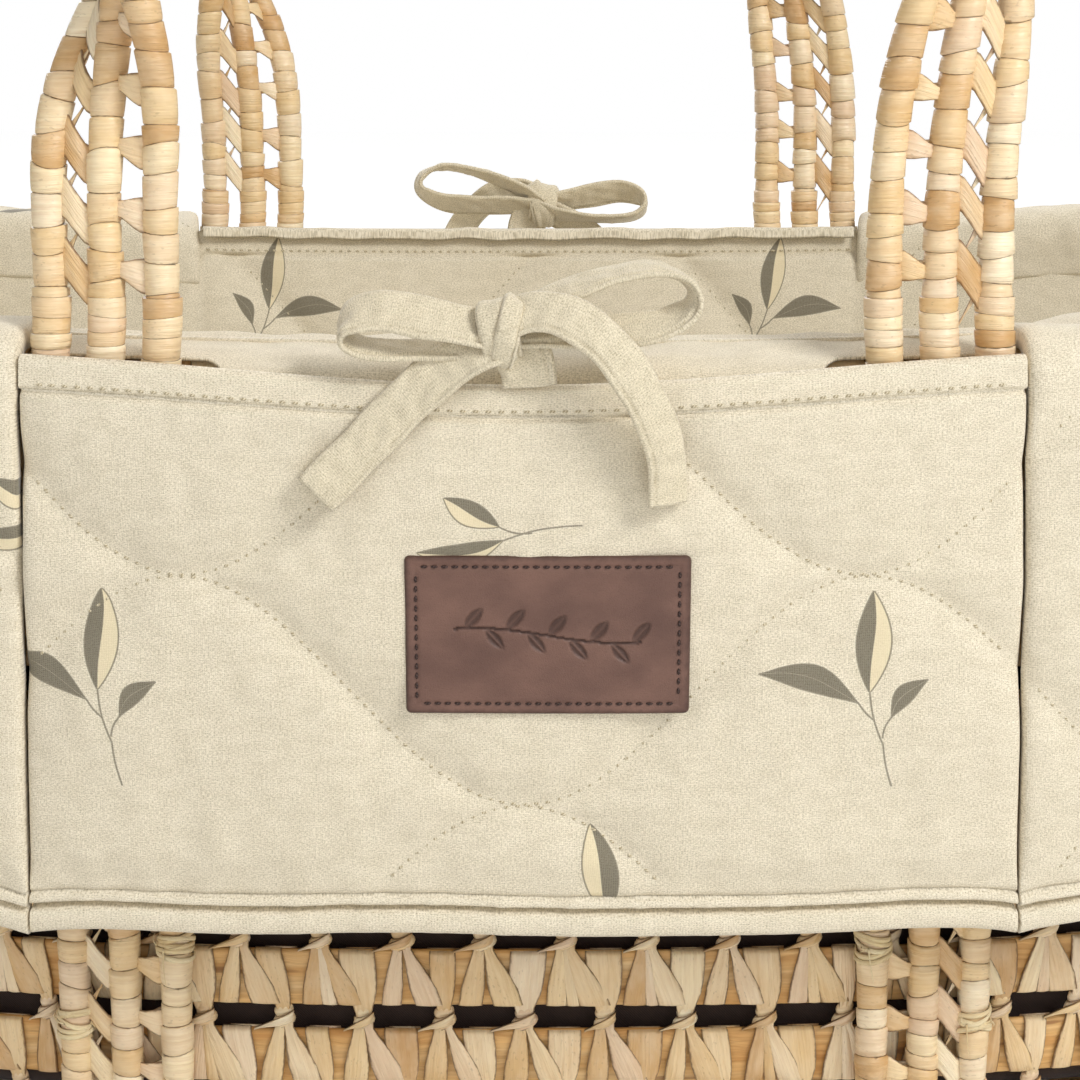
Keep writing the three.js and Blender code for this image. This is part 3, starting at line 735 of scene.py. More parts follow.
@cache
def sprig_effect(name: str, leaves: tuple[PrintedLeaf, ...], stems: tuple[tuple, ...]) -> bpy.types.NodeTree:
    """A printed sprig of leaves on thin stems.

    Args:
        name: the group's name.
        leaves: its leaves.
        stems: the start, the end and the bow of each stem.

    Returns:
        A group that gives the dark mask, with outlines and stems included, and the pale mask at a place in
        millimetres.
    """
    effect = Effect(name, {"Place": "vector"}, {"Dark": "number", "Pale": "number"})
    nodes, given = effect.nodes, effect.given
    dark: Feed = 0.0
    pale: Feed = 0.0
    for leaf in leaves:
        drawn = nodes.group(
            leaf_effect(), Place=given["Place"], Base_X=leaf.base[0], Base_Y=leaf.base[1], Angle=leaf.angle,
            Length=leaf.length, Width=leaf.width, Bend=leaf.bend, Full=leaf.full,
        ).outputs
        dark = nodes.math("MAXIMUM", dark, drawn["Left"])
        dark = nodes.math("MAXIMUM", dark, nodes.math("MULTIPLY", drawn["Outline"], LINE_STRENGTH))
        if leaf.pale:
            pale = nodes.math("MAXIMUM", pale, drawn["Right"])
        else:
            dark = nodes.math("MAXIMUM", dark, drawn["Right"])
    for start, end, bow in stems:
        length = math.dist(start, end)
        angle = math.atan2(end[0] - start[0], end[1] - start[1])
        away = nodes.add("VectorMath", {0: given["Place"], 1: (*start, 0)}, operation="SUBTRACT").outputs[0]
        turned = nodes.add("VectorRotate", {"Vector": away, "Angle": angle}, rotation_type="Z_AXIS")
        parts = nodes.add("SeparateXYZ", {0: turned.outputs[0]}).outputs
        share = nodes.math("DIVIDE", parts["Y"], length)
        arc = nodes.math("MULTIPLY", nodes.math("SINE", nodes.math("MULTIPLY", share, math.pi)), bow)
        near = nodes.step(nodes.math("ABSOLUTE", nodes.math("SUBTRACT", parts["X"], arc)), 0.36, 0.16)
        inside = nodes.step(nodes.math("ABSOLUTE", nodes.math("SUBTRACT", share, 0.5)), 0.52, 0.49)
        drawn = nodes.math("MULTIPLY", near, inside)
        dark = nodes.math("MAXIMUM", dark, nodes.math("MULTIPLY", drawn, LINE_STRENGTH))
    return effect.put(Dark=dark, Pale=pale)


# ---- finishes -------------------------------------------------------------------------------------
@dataclass(frozen=True)
class Finish:
    """What a surface is made of; each kind dresses its own material."""

    name: str

    def material(self) -> bpy.types.Material:
        """The material, made once."""
        known = bpy.data.materials.get(self.name)
        if known:
            return known
        material = bpy.data.materials.new(self.name)
        material.use_nodes = True
        tree = material.node_tree
        self.dress(Nodes(tree), tree.nodes["Principled BSDF"].inputs)
        return material

    def dress(self, nodes: Nodes, shader: bpy.types.NodeInputs) -> None:
        """Sets the shader's inputs; each kind of finish does this its own way."""
        raise NotImplementedError


@dataclass(frozen=True)
class LeafFinish(Finish):
    """Dried palm leaf: glossy, straw coloured, with fibres and freckles, its borders darkened by a thin brown
    line and by painted contact shade.
    """

    tones: tuple[str, ...] = ("c99c64", "dfbb84", "edd09d", "e6c89c", "f5e0b6", "e6c8a6", "fbecca")
    # dark: the border colour, partly a thin brown line and partly painted contact shade where leaves overlap
    dark: str = "6e4a26"
    streak: str = "b98549"
    bloom: str = "fff0d0"
    freckle: str = "6d4a28"
    fibre: float = 1.0
    roughness: float = 0.28
    depth: float = 0.00022

    def dress(self, nodes: Nodes, shader: bpy.types.NodeInputs) -> None:
        """Colours each leaf by its shade and bends its surface along its fibres."""
        layout = nodes.layout()
        fibres = nodes.group(fibre_effect(), Layout=layout, Fibre=self.fibre, Waver=0.002).outputs
        stops = [(place / (len(self.tones) - 1), code) for place, code in enumerate(self.tones)]
        colour = nodes.ramp(nodes.mark("shade"), stops)
        colour = nodes.mix(nodes.math("MULTIPLY", fibres["Streaks"], 0.28), colour, tint(self.streak))
        colour = nodes.mix(nodes.math("MULTIPLY", fibres["Tone"], 0.25), colour, tint(self.bloom))
        # Painted contact shade: each leaf's border is darkened where it meets or tucks under the next, along
        # with its thin brown line.
        edge_shade_and_wear = nodes.group(edge_shade_and_wear_effect(), Layout=layout, Edge=nodes.mark("edge"), Reach=0.55).outputs[0]
        colour = nodes.mix(nodes.math("MULTIPLY", edge_shade_and_wear, 0.8), colour, tint(self.dark))
        colour = nodes.mix(nodes.math("MULTIPLY", fibres["Flecks"], 0.22), colour, tint(self.freckle))
        nodes.feed(shader["Base Color"], colour)
        gloss = nodes.math("MULTIPLY_ADD", fibres["Streaks"], 0.22, self.roughness)
        nodes.feed(shader["Roughness"], gloss)
        relief = nodes.math("SUBTRACT", fibres["Tone"], nodes.math("MULTIPLY", fibres["Streaks"], 0.8))
        nodes.feed(shader["Normal"], nodes.bump(relief, self.depth))
        shader["Subsurface Weight"].default_value = 0.06
        shader["Subsurface Radius"].default_value = (1.0, 0.6, 0.3)
        shader["Subsurface Scale"].default_value = 0.0015
        shader["Specular IOR Level"].default_value = 0.6


@dataclass(frozen=True)
class SlatFinish(Finish):
    """A thin split slat of pale wood, with grain along it and the odd dark mark."""

    tones: tuple[tuple[float, str], ...] = ((0.3, "cd9149"), (0.5, "e8b874"), (0.7, "f5d39a"))
    grain: str = "a8743e"
    mark: str = "7c4a25"

    def dress(self, nodes: Nodes, shader: bpy.types.NodeInputs) -> None:
        """Colours the slat by its grain."""
        layout = nodes.layout()
        fibres = nodes.group(fibre_effect(), Layout=layout, Fibre=0.55, Waver=0.006).outputs
        tone = nodes.noise(nodes.scaled(layout, (9, 120, 1)), 1.0, detail=3)
        colour = nodes.ramp(tone, self.tones)
        colour = nodes.mix(nodes.math("MULTIPLY", fibres["Streaks"], 0.5), colour, tint(self.grain))
        marks = nodes.step(nodes.noise(nodes.scaled(layout, (26, 210, 1)), 1.0, detail=2), 0.64, 0.72)
        colour = nodes.mix(nodes.math("MULTIPLY", marks, 0.6), colour, tint(self.mark))
        nodes.feed(shader["Base Color"], colour)
        nodes.feed(shader["Roughness"], nodes.math("MULTIPLY_ADD", fibres["Streaks"], 0.2, 0.5))
        nodes.feed(shader["Normal"], nodes.bump(fibres["Streaks"], 0.0002))


@dataclass(frozen=True)
class KnitFinish(Finish):
    """Soft jersey, with an optional printed pattern of sprigs."""

    light: str = "efe5cf"
    dark: str = "b5a88b"
    # the colour of the knit's hollows: painted shade, shown only where the darker yarn flecks
    hollow_shade_colour: str = "7d725a"
    stitch: float = 0.00062
    depth: float = 0.00013
    printed: bool = False
    repeat: tuple[float, float] = (217.5, 200.0)
    print_size: float = 1.08
    ink: tuple[str, str] = ("6f6856", "403b30")
    pale_ink: str = "e4d4ae"

    def dress(self, nodes: Nodes, shader: bpy.types.NodeInputs) -> None:
        """Colours the yarn, paints shade into the knit's hollows and adds the stitches."""
        layout = nodes.layout()
        knit = nodes.group(knit_effect(), Layout=layout, Stitch=self.stitch).outputs
        tone = nodes.math("MULTIPLY_ADD", knit["Cloud"], 0.14, nodes.math("MULTIPLY", knit["Fleck"], 0.6))
        # Painted shade: the knit's low places, read from the stitch height, darken the cloth where the darker
        # yarn flecks, and darken the ink.
        hollow_shade = nodes.step(knit["Height"], 0.62, 0.3)
        colour = nodes.mix(tone, tint(self.light), tint(self.dark))
        hollow_shade_flecks = nodes.math("MULTIPLY", hollow_shade, nodes.math("MULTIPLY", knit["Fleck"], 0.55))
        colour = nodes.mix(hollow_shade_flecks, colour, tint(self.hollow_shade_colour))
        if self.printed:
            colour = self.print_on(nodes, layout, colour, hollow_shade)
        nodes.feed(shader["Base Color"], colour)
        nodes.feed(shader["Roughness"], nodes.math("MULTIPLY_ADD", tone, 0.08, 0.88))
        nodes.feed(shader["Normal"], nodes.bump(knit["Height"], self.depth))
        shader["Sheen Weight"].default_value = 0.25
        shader["Sheen Roughness"].default_value = 0.5
        shader["Specular IOR Level"].default_value = 0.25

    def print_on(self, nodes: Nodes, layout: Socket, colour: Socket, hollow_shade: Socket) -> Socket:
        """Lays the sprigs over the cloth, with the yarn showing through the ink, and the ink painted darker
        in the knit's hollows as shade.
        """
        millimetres = nodes.scaled(layout, (1 / MM, 1 / MM, 1))
        width, height = self.repeat
        dark: Feed = 0.0
        pale: Feed = 0.0
        plans = (
            (sprig_effect("upright sprig", UPRIGHT_SPRIG, UPRIGHT_STEMS), (-116.3, 66.0), 0.0),
            (sprig_effect("sideways sprig", SIDEWAYS_SPRIG, SIDEWAYS_STEMS), (2.6, 127.5), 0.0),
            (sprig_effect("leaning sprig", LEANING_SPRIG, UPRIGHT_STEMS), (29.5, -3.2), -0.2),
        )
        for sprig, (x, y), lean in plans:
            moved = nodes.add("VectorMath", {0: millimetres, 1: (x, y, 0)}, operation="SUBTRACT").outputs[0]
            parts = nodes.add("SeparateXYZ", {0: moved}).outputs
            tile = nodes.add(
                "CombineXYZ",
                {
                    "X": nodes.math("WRAP", parts["X"], width / 2, -width / 2),
                    "Y": nodes.math("WRAP", parts["Y"], height / 2, -height / 2),
                },
            ).outputs[0]
            sized = nodes.scaled(tile, (1 / self.print_size, 1 / self.print_size, 1))
            leaning = nodes.add("VectorRotate", {"Vector": sized, "Angle": lean}, rotation_type="Z_AXIS")
            drawn = nodes.group(sprig, Place=leaning.outputs[0]).outputs
            dark = nodes.math("MAXIMUM", dark, drawn["Dark"])
            pale = nodes.math("MAXIMUM", pale, drawn["Pale"])
        colour = nodes.mix(nodes.math("MULTIPLY", pale, 0.75), colour, tint(self.pale_ink))
        # The ink is darker in the knit's hollows: painted shade.
        ink = nodes.mix(hollow_shade, tint(self.ink[0]), tint(self.ink[1]))
        return nodes.mix(nodes.math("MULTIPLY", dark, 0.86), colour, ink)


@dataclass(frozen=True)
class ThreadFinish(Finish):
    """Sewing thread: a tight two-ply twist."""

    light: str = "d8cdb3"
    dark: str = "a09272"
    turns: tuple[float, float] = (7000.0, 5000.0)

    def dress(self, nodes: Nodes, shader: bpy.types.NodeInputs) -> None:
        """Colours the plies by their twist."""
        parts = nodes.add("SeparateXYZ", {0: nodes.layout()}).outputs
        along, across = self.turns
        twist = nodes.math("MULTIPLY_ADD", parts["X"], along, nodes.math("MULTIPLY", parts["Y"], across))
        ply = nodes.math("MULTIPLY_ADD", nodes.math("SINE", twist), 0.5, 0.5)
        nodes.feed(shader["Base Color"], nodes.mix(ply, tint(self.light), tint(self.dark)))
        nodes.feed(shader["Normal"], nodes.bump(ply, 0.00008))
        shader["Roughness"].default_value = 0.7


@dataclass(frozen=True)
class LeatherFinish(Finish):
    """Smooth brown leather with a fine grain, darker where it is pressed and worn at its edge."""

    light: str = "78584b"
    dark: str = "60443a"
    worn: str = "402a22"

    def dress(self, nodes: Nodes, shader: bpy.types.NodeInputs) -> None:
        """Colours the leather and raises its grain."""
        layout = nodes.layout()
        cells = nodes.add("TexVoronoi", {"Vector": layout, "Scale": 1500.0}, feature="DISTANCE_TO_EDGE")
        grain = nodes.step(cells.outputs[0], 0.0, 0.25)
        fine = nodes.noise(nodes.scaled(layout, (700, 1400, 1)), 1.0, detail=3, roughness=0.7)
        tone = nodes.noise(nodes.scaled(layout, (45, 70, 1)), 1.0, detail=3)
        colour = nodes.mix(nodes.step(tone, 0.25, 0.75), tint(self.light), tint(self.dark))
        colour = nodes.mix(nodes.step(fine, 0.5, 0.75, end=0.2), colour, tint(self.worn))
        edge_shade_and_wear = nodes.group(edge_shade_and_wear_effect(), Layout=layout, Edge=nodes.mark("edge"), Reach=0.8).outputs[0]
        pressed = nodes.math("MAXIMUM", nodes.math("MULTIPLY", edge_shade_and_wear, 0.75), nodes.mark("shade"))
        colour = nodes.mix(pressed, colour, tint(self.worn))
        nodes.feed(shader["Base Color"], colour)
        nodes.feed(shader["Roughness"], nodes.math("MULTIPLY_ADD", fine, 0.25, 0.36))
        height = nodes.math("ADD", nodes.math("MULTIPLY", grain, 0.5), fine)
        nodes.feed(shader["Normal"], nodes.bump(height, 0.00008))
        shader["Specular IOR Level"].default_value = 0.4


@dataclass(frozen=True)
class TwillFinish(Finish):
    """Plain woven cloth with a slanting rib, for the dark backing and the pale mattress cover."""

    light: str = "4d3d36"
    dark: str = "2b211d"
    rib: float = 0.0009
    roughness: float = 0.9

    def dress(self, nodes: Nodes, shader: bpy.types.NodeInputs) -> None:
        """Colours the threads by the rib and a slow cloud."""
        layout = nodes.layout()
        parts = nodes.add("SeparateXYZ", {0: layout}).outputs
        turns = TAU / self.rib
        slant = nodes.math("MULTIPLY", nodes.math("ADD", parts["X"], parts["Y"]), turns)
        weft = nodes.math("MULTIPLY", nodes.math("SUBTRACT", parts["X"], parts["Y"]), turns * 1.7)
        rib = nodes.math("MULTIPLY_ADD", nodes.math("SINE", slant), 0.35, 0.5)
        rib = nodes.math("MULTIPLY_ADD", nodes.math("SINE", weft), 0.15, rib)
        cloud = nodes.noise(nodes.scaled(layout, (90, 90, 1)), 1.0, detail=4, roughness=0.7)
        tone = nodes.math("ADD", nodes.math("MULTIPLY", rib, 0.5), nodes.math("MULTIPLY", cloud, 0.6))
        nodes.feed(shader["Base Color"], nodes.mix(tone, tint(self.dark), tint(self.light)))
        nodes.feed(shader["Roughness"], nodes.math("MULTIPLY_ADD", cloud, 0.1, self.roughness - 0.05))
        nodes.feed(shader["Normal"], nodes.bump(rib, 0.0001))
        shader["Sheen Weight"].default_value = 0.2
        shader["Specular IOR Level"].default_value = 0.2


@dataclass(frozen=True)
class FloorFinish(Finish):
    """The plain pale floor."""

    glow: float = 0.75
    colour: str = "f7f7f6"

    def dress(self, nodes: Nodes, shader: bpy.types.NodeInputs) -> None:
        """A matt near white that looks as bright as the surround."""
        shader["Base Color"].default_value = tint(self.colour)
        shader["Roughness"].default_value = 0.9
        seen = nodes.add("LightPath").outputs["Is Camera Ray"]
        shader["Emission Color"].default_value = (1.0, 1.0, 1.0, 1.0)
        nodes.feed(shader["Emission Strength"], nodes.math("MULTIPLY", seen, self.glow))


LEAF = LeafFinish("palm leaf")
SLAT = SlatFinish("split slat")
RAFFIA = LeafFinish("raffia twine", tones=("e5cf9c", "f3e3b8", "dcc08a"), roughness=0.6, depth=0.0003)
JERSEY = KnitFinish("quilted jersey", printed=True)
PLAIN_JERSEY = KnitFinish("plain jersey")
BINDING = KnitFinish("hem binding jersey", light="efe5cf", dark="b9ac8f", stitch=0.0008)
RIBBON = KnitFinish("ribbon jersey", light="e6dbc2", dark="ac9f80", stitch=0.0008)
THREAD = ThreadFinish("sewing thread")
DARK_THREAD = ThreadFinish("leather thread", light="4a332c", dark="241713")
LEATHER = LeatherFinish("brown leather")
BACKING = TwillFinish("dark backing cloth")
TICKING = TwillFinish("mattress ticking", light="f4f1e8", dark="d9d4c6", rib=0.0012)


# ---- leaf, rods and slats -------------------------------------------------------------------------
Surface = Callable[[np.ndarray, np.ndarray, np.ndarray], np.ndarray]


def on_wall(run: np.ndarray, height: np.ndarray, offset: np.ndarray) -> np.ndarray:
    """Points of the wall at runs, heights and offsets."""
    return WALL.point(WALL.turn_of(run), height, offset)


def on_rim(aside: np.ndarray, run: np.ndarray, lift: np.ndarray) -> np.ndarray:
    """Points about the middle of the rim rod, aside being upwards."""
    turn = WALL.turn_of(run)
    return WALL.point(turn, WALL.rim_top(turn) - WALL.rim_diameter / 2 + aside, lift - WALL.thickness / 2)


def on_foot(aside: np.ndarray, run: np.ndarray, lift: np.ndarray) -> np.ndarray:
    """Points about the middle of the foot rod, aside being upwards."""
    points, facing = WALL.face(WALL.turn_of(run), np.zeros_like(run))
    points = points + facing * (lift - WALL.base_thickness / 2)[..., None]
    points[..., 2] = WALL.base_thickness / 2 + aside
    return points


@dataclass
class Blades:
    """Many leaf blades laid over a surface as thin crowned strips, by blades and stations."""

    aside: np.ndarray
    along: np.ndarray
    lift: np.ndarray
    half: np.ndarray
    lean: float = 0.0
    crown: float = 0.5
    thickness: float = 0.8
    pleat: np.ndarray | float = 0.0
    across: int = 7

    def add_to(self, draft: Draft, surface: Surface, shade: np.ndarray, slot: int = 0) -> None:
        """Adds the blades to a draft, each with its own shade."""
        aside, along, lift, half = np.broadcast_arrays(self.aside, self.along, self.lift, self.half)
        width = np.linspace(-1, 1, self.across)
        pleats = np.asarray(self.pleat)[..., None] * np.cos(2.5 * math.pi * width)
        front = np.broadcast_to(self.crown * (1 - width**2) + pleats, half.shape + (self.across,))
        back = np.full(half.shape + (2,), -self.thickness)
        rise = np.concatenate([front, back, front[..., :1]], axis=-1)
        side = np.concatenate([width, [1, -1, -1]])
        reach = half[..., None] * side
        points = surface(
            aside[..., None] + reach * math.cos(self.lean),
            along[..., None] + reach * math.sin(self.lean),
            lift[..., None] + rise,
        )
        steps = np.linalg.norm(np.diff(points.mean(axis=-2), axis=-2), axis=-1)
        length = np.concatenate([np.zeros(steps.shape[:-1] + (1,)), np.cumsum(steps, axis=-1)], axis=-1)
        layout = np.stack(np.broadcast_arrays(length[..., None], reach), axis=-1)
        layout = layout + shade[:, None, None, None] * np.array([700.0, 300.0])
        edge = np.broadcast_to(np.abs(side) > 0.95, points.shape[:-1])
        draft.tubes(points, layout, shade[:, None, None], edge, slot)


@dataclass
class Wrapping:
    """Leaf wound round a rod in overlapping turns, each a little thicker at its later edge."""

    radius: float
    low: float = 4.6
    high: float = 9.0
    leaf: float = 0.75
    sides: int = 16
    stretch: tuple[float, float] = (1.0, 1.0)
    squareness: float = 1.0
    tilt: float = 0.17

    def lay(
        self, draft: Draft, surface: Surface, start: float, end: float, dice: np.random.Generator
    ) -> None:
        """Adds the wrapped rod to a draft.

        Args:
            draft: takes the mesh.
            surface: gives points about the rod's middle.
            start: where the wrapping begins along the rod.
            end: where it ends.
            dice: the source of its irregularity.
        """
        pitches = dice.uniform(self.low, self.high, int((end - start) / self.low) + 2)
        marks = start + np.concatenate([[0], np.cumsum(pitches)])
        turns = int(np.argmin(np.abs(marks - end)))
        marks = start + (marks[: turns + 1] - start) * (end - start) / (marks[turns] - start)
        tilts = dice.normal(0, self.tilt, (turns + 1, 2))
        tilts[[0, -1]] = 0
        share = np.array([0.0, 0.04, 0.3, 0.65, 0.94, 1.0])
        swell = np.array([0.0, 0.45, 0.75, 0.9, 1.0, 0.05]) * self.leaf
        around = np.linspace(0, TAU, self.sides + 1)
        cosine, sine = np.cos(around), np.sin(around)
        lean = tilts[:-1, None, :] * (1 - share)[None, :, None] + tilts[1:, None, :] * share[None, :, None]
        along = (marks[:-1, None] + share * np.diff(marks)[:, None])[..., None]
        along = along + self.radius * (lean[..., :1] * cosine + lean[..., 1:] * sine)
        thick = dice.uniform(0.7, 1.3, (turns, 1, 1)) * swell[None, :, None]
        dent = 1 + 0.04 * np.sin(2 * around + dice.uniform(0, TAU, (turns, 1, 1)))
        aside = signed_power(cosine, self.squareness) * (self.radius * self.stretch[0] + thick) * dent
        lift = signed_power(sine, self.squareness) * (self.radius * self.stretch[1] + thick) / dent
        points = surface(aside, along, lift)
        layout = np.stack(np.broadcast_arrays(self.radius * around, along), axis=-1)
        layout = layout + dice.uniform(0, 900, (turns, 1, 1, 2))
        shade = np.broadcast_to(dice.uniform(0, 1, (turns, 1, 1)), points.shape[:-1])
        edge = np.broadcast_to(((share < 0.01) | (share > 0.99))[None, :, None], points.shape[:-1])
        shape = (1, turns * len(share), self.sides + 1)
        flat = (points.reshape(shape + (3,)), layout.reshape(shape + (2,)), shade.reshape(shape))
        draft.tubes(*flat, edge.reshape(shape))


@dataclass
class WovenWall:
    """The courses of flat slats, the leaf that binds them, the rim rod and the woven base."""

    unit: float = 27.0
    slat_front: float = -1.9
    slat_back: float = -4.6
    trim: float = 0.7
    slat_stations: int = 320
    strip_half: float = 5.3
    rim_radius: float = 7.4
    foot_radius: float = 5.2
    base_slats: int = 13

    def build(self) -> None:
        """Makes every piece of the woven body."""
        for number in range(1, WALL.course_count + 1):
            self.course(number)
        for number in range(1, WALL.course_count + 2):
            self.knots(number)
        self.rim()
        self.base()

    def columns(self, number: int) -> np.ndarray:
        """The runs of the knots in the gap below a course; every other gap is half a unit on."""
        count = round(WALL.perimeter / self.unit)
        return (np.arange(count) + 0.5 * (number % 2)) * WALL.perimeter / count

    def edges(self, columns: np.ndarray, number: int) -> tuple[np.ndarray, np.ndarray]:
        """The heights of a slat's lower and upper edge at runs."""
        lower, upper = WALL.course(WALL.turn_of(columns), number)
        return lower + self.trim, upper - self.trim

    def course(self, number: int) -> bpy.types.Object:
        """One course: its slat, the strips over it and the fans from the knots above."""
        draft = Draft()
        dice = np.random.default_rng(SEED + 10 * number)
        self.slat(draft, number)
        self.strips(draft, number, dice)
        self.fans(draft, number, dice)
        self.lining_strips(draft, number, dice)
        piece = draft.piece(f"course_{number}_slat_and_leaf", [LEAF, SLAT])
        return place(piece, "basket", "cane", f"course_{number}")

    def slat(self, draft: Draft, number: int) -> None:
        """The flat slat, with eased edges and a slight waver."""
        runs = np.linspace(0, WALL.perimeter, self.slat_stations + 1)[:-1]
        runs = np.append(runs, WALL.perimeter)
        lower, upper = self.edges(runs, number)
        depth = self.slat_front - self.slat_back
        eased, corner = 0.7, 1.2
        outline = [
            (0, -corner, 1), (-eased, 0, 1), (eased - depth, 0, 1), (-depth, -corner, 1),
            (-depth, corner, 0), (eased - depth, 0, 0), (-eased, 0, 0), (0, corner, 0), (0, -corner, 1),
        ]
        inwards, shift, top = np.array(outline, float).T
        waver = 0.3 * np.sin(TAU * 9 * runs / WALL.perimeter + number)
        edge_height = np.where(top == 1, upper[:, None], lower[:, None])
        heights = edge_height + shift + waver[:, None]
        offsets = self.slat_front + inwards + 0.0 * heights
        layout = np.stack(np.broadcast_arrays(runs[:, None] + 500 * number, heights), axis=-1)
        draft.grid(on_wall(runs[:, None], heights, offsets), layout, slot=1)

    def strips(self, draft: Draft, number: int, dice: np.random.Generator) -> None:
        """A strip folded over the slat above each knot, drawn together as it goes down into it."""
        columns = self.columns(number)
        lower, upper = self.edges(columns, number)
        down = np.array([-0.01, 0.01, 0.06, 0.3, 0.55, 0.75, 0.9, 1.0, 1.15, 1.35])
        width = np.array([0.98, 1.0, 1.0, 1.0, 0.95, 0.84, 0.68, 0.56, 0.46, 0.42])
        lift = np.array([-3.4, -1.8, -0.9, -0.5, -0.4, -0.4, -0.6, -0.9, -1.8, -2.4])
        lean = dice.normal(-1.2, 1.6, columns.shape)[:, None] * (1 - np.clip(down, 0, 1))
        half = self.strip_half * dice.uniform(0.7, 1.2, (len(columns), 1))
        Blades(
            aside=columns[:, None] + lean,
            along=upper[:, None] - down * (upper - lower)[:, None],
            lift=lift,
            half=np.minimum(half * width, 2.0 + half * width * 0.85),
            pleat=0.3 * ease(down, 0.4, 1.0),
            crown=0.35,
            across=9,
        ).add_to(draft, on_wall, dice.uniform(0, 1, columns.shape))

    def fans(self, draft: Draft, number: int, dice: np.random.Generator) -> None:
        """The two or three ends that spread downwards over the slat from each knot above it."""
        columns = self.columns(number + 1)
        lower, upper = self.edges(columns, number)
        height = (upper - lower)[:, None]
        down = np.array([-0.2, -0.03, 0.12, 0.35, 0.65, 0.95, 0.985])
        stray = dice.normal(0, 0.8, columns.shape)
        often = np.ones(columns.shape, bool)
        seldom = dice.uniform(0, 1, columns.shape) < 0.4
        spread = (
            (-1.4, -3.4, 1.8, 3.7, 0.1, often),
            (1.6, 9.6, 1.4, 4.6, 0.5, often),
            (0.2, 2.4, 1.0, 2.2, 0.3, seldom),
        )
        for start, end, narrow, wide, rise, present in spread:
            grown = np.clip(down, 0, 1) ** 0.85
            aside = columns[:, None] + start + (end + stray[:, None] - start) * grown
            half = mixed(narrow, wide, ease(down, -0.1, 0.7)) * dice.uniform(0.85, 1.15, (len(columns), 1))
            Blades(
                aside=aside[present],
                along=(upper[:, None] + 0.3 - down * (height + 0.3))[present],
                lift=np.array([-2.8, -1.4, -0.9, -0.7, -0.6, -0.8, -1.6]) + rise,
                half=half[present],
                crown=0.55,
                pleat=0.25 * (1 - ease(down, 0.0, 0.7)),
            ).add_to(draft, on_wall, dice.uniform(0, 1, int(present.sum())))

    def lining_strips(self, draft: Draft, number: int, dice: np.random.Generator) -> None:
        """The plain backs of the strips, on the inside of the wall."""
        columns = self.columns(number)
        lower, upper = self.edges(columns, number)
        down = np.array([-0.02, 0.1, 0.5, 0.9, 1.02])
        Blades(
            aside=columns[:, None],
            along=upper[:, None] - down * (upper - lower)[:, None],
            lift=np.array([-3.9, -4.9, -5.0, -4.9, -3.9]),
            half=np.full((len(columns), 5), self.strip_half),
            crown=0.2,
            thickness=0.6,
            across=3,
        ).add_to(draft, on_wall, dice.uniform(0, 1, columns.shape))

    def knots(self, number: int) -> bpy.types.Object:
        """The knots of one gap: turns of leaf round each strip, and a tail that slants away."""
        draft = Draft()
        dice = np.random.default_rng(SEED + 500 + number)
        columns = self.columns(number)
        turn = WALL.turn_of(columns)
        gap = WALL.gap_height(turn)[:, None]
        bottom = WALL.course(turn, number)[0][:, None] - gap
        shade = dice.uniform(0.2, 1, columns.shape)
        for low, high, girth, slant in ((-0.02, 0.62, 3.9, 0.9), (0.5, 1.06, 3.1, 0.5)):
            share = np.linspace(low, high, 5)
            swell = np.array([0.72, 0.96, 1.05, 0.98, 0.75])
            self.turn_of_leaf(draft, columns, bottom + share * gap, girth * swell, slant, shade, dice)
        share = np.linspace(0, 1, 7)
        length = dice.uniform(10, 15, (len(columns), 1))
        tail = bottom + gap * (0.55 - 0.62 * share**1.1)
        Blades(
            aside=columns[:, None] + 3.2 - share * length,
            along=tail,
            lift=np.array([-1.2, 0.5, 0.9, 0.5, -0.1, -0.5, -0.8]),
            half=np.maximum(gap * 0.27 * (1 - share**1.3), 0.3),
            lean=math.pi / 2 - 0.2,
            crown=0.7,
            pleat=0.2,
        ).add_to(draft, on_wall, dice.uniform(0, 1, columns.shape))
        piece = draft.piece(f"lashing_{number}_knots", [LEAF])
        return place(piece, "basket", "palm_leaf", f"lashing_{number}")

    @staticmethod
    def turn_of_leaf(
        draft: Draft,
        columns: np.ndarray,
        heights: np.ndarray,
        girth: np.ndarray,
        slant: float,
        shade: np.ndarray,
        dice: np.random.Generator,
    ) -> None:
        """One turn of leaf round every knot of a gap: a short oval tube that slants.

        Args:
            draft: takes the mesh.
            columns: the runs of the knots.
            heights: the heights of each knot's rings.
            girth: the half width of each ring.
            slant: how far a ring's right side is raised.
            shade: the shade of each knot.
            dice: the source of its irregularity.
        """
        around = np.linspace(0, TAU, 11)
        size = (girth * dice.uniform(0.9, 1.12, (len(columns), 1)))[..., None]
        aside = columns[:, None, None] + size * np.cos(around)
        along = heights[..., None] + slant * np.cos(around)
        lift = 0.62 * size * np.sin(around) - 2.6
        layout = np.stack(np.broadcast_arrays(size * around, heights[..., None]), axis=-1)
        edge = np.zeros(along.shape)
        edge[:, [0, -1]] = 1
        draft.tubes(on_wall(aside, along, lift), layout, shade[:, None, None], edge)

    def rim(self) -> bpy.types.Object:
        """The rim rod, wrapped in leaf all the way round."""
        draft = Draft()
        dice = np.random.default_rng(SEED + 900)
        Wrapping(radius=self.rim_radius, low=5.5, high=9.5).lay(draft, on_rim, 0, WALL.perimeter, dice)
        return place(draft.piece("rim_rod_wrapped", [LEAF]), "basket", "palm_leaf", "rim")

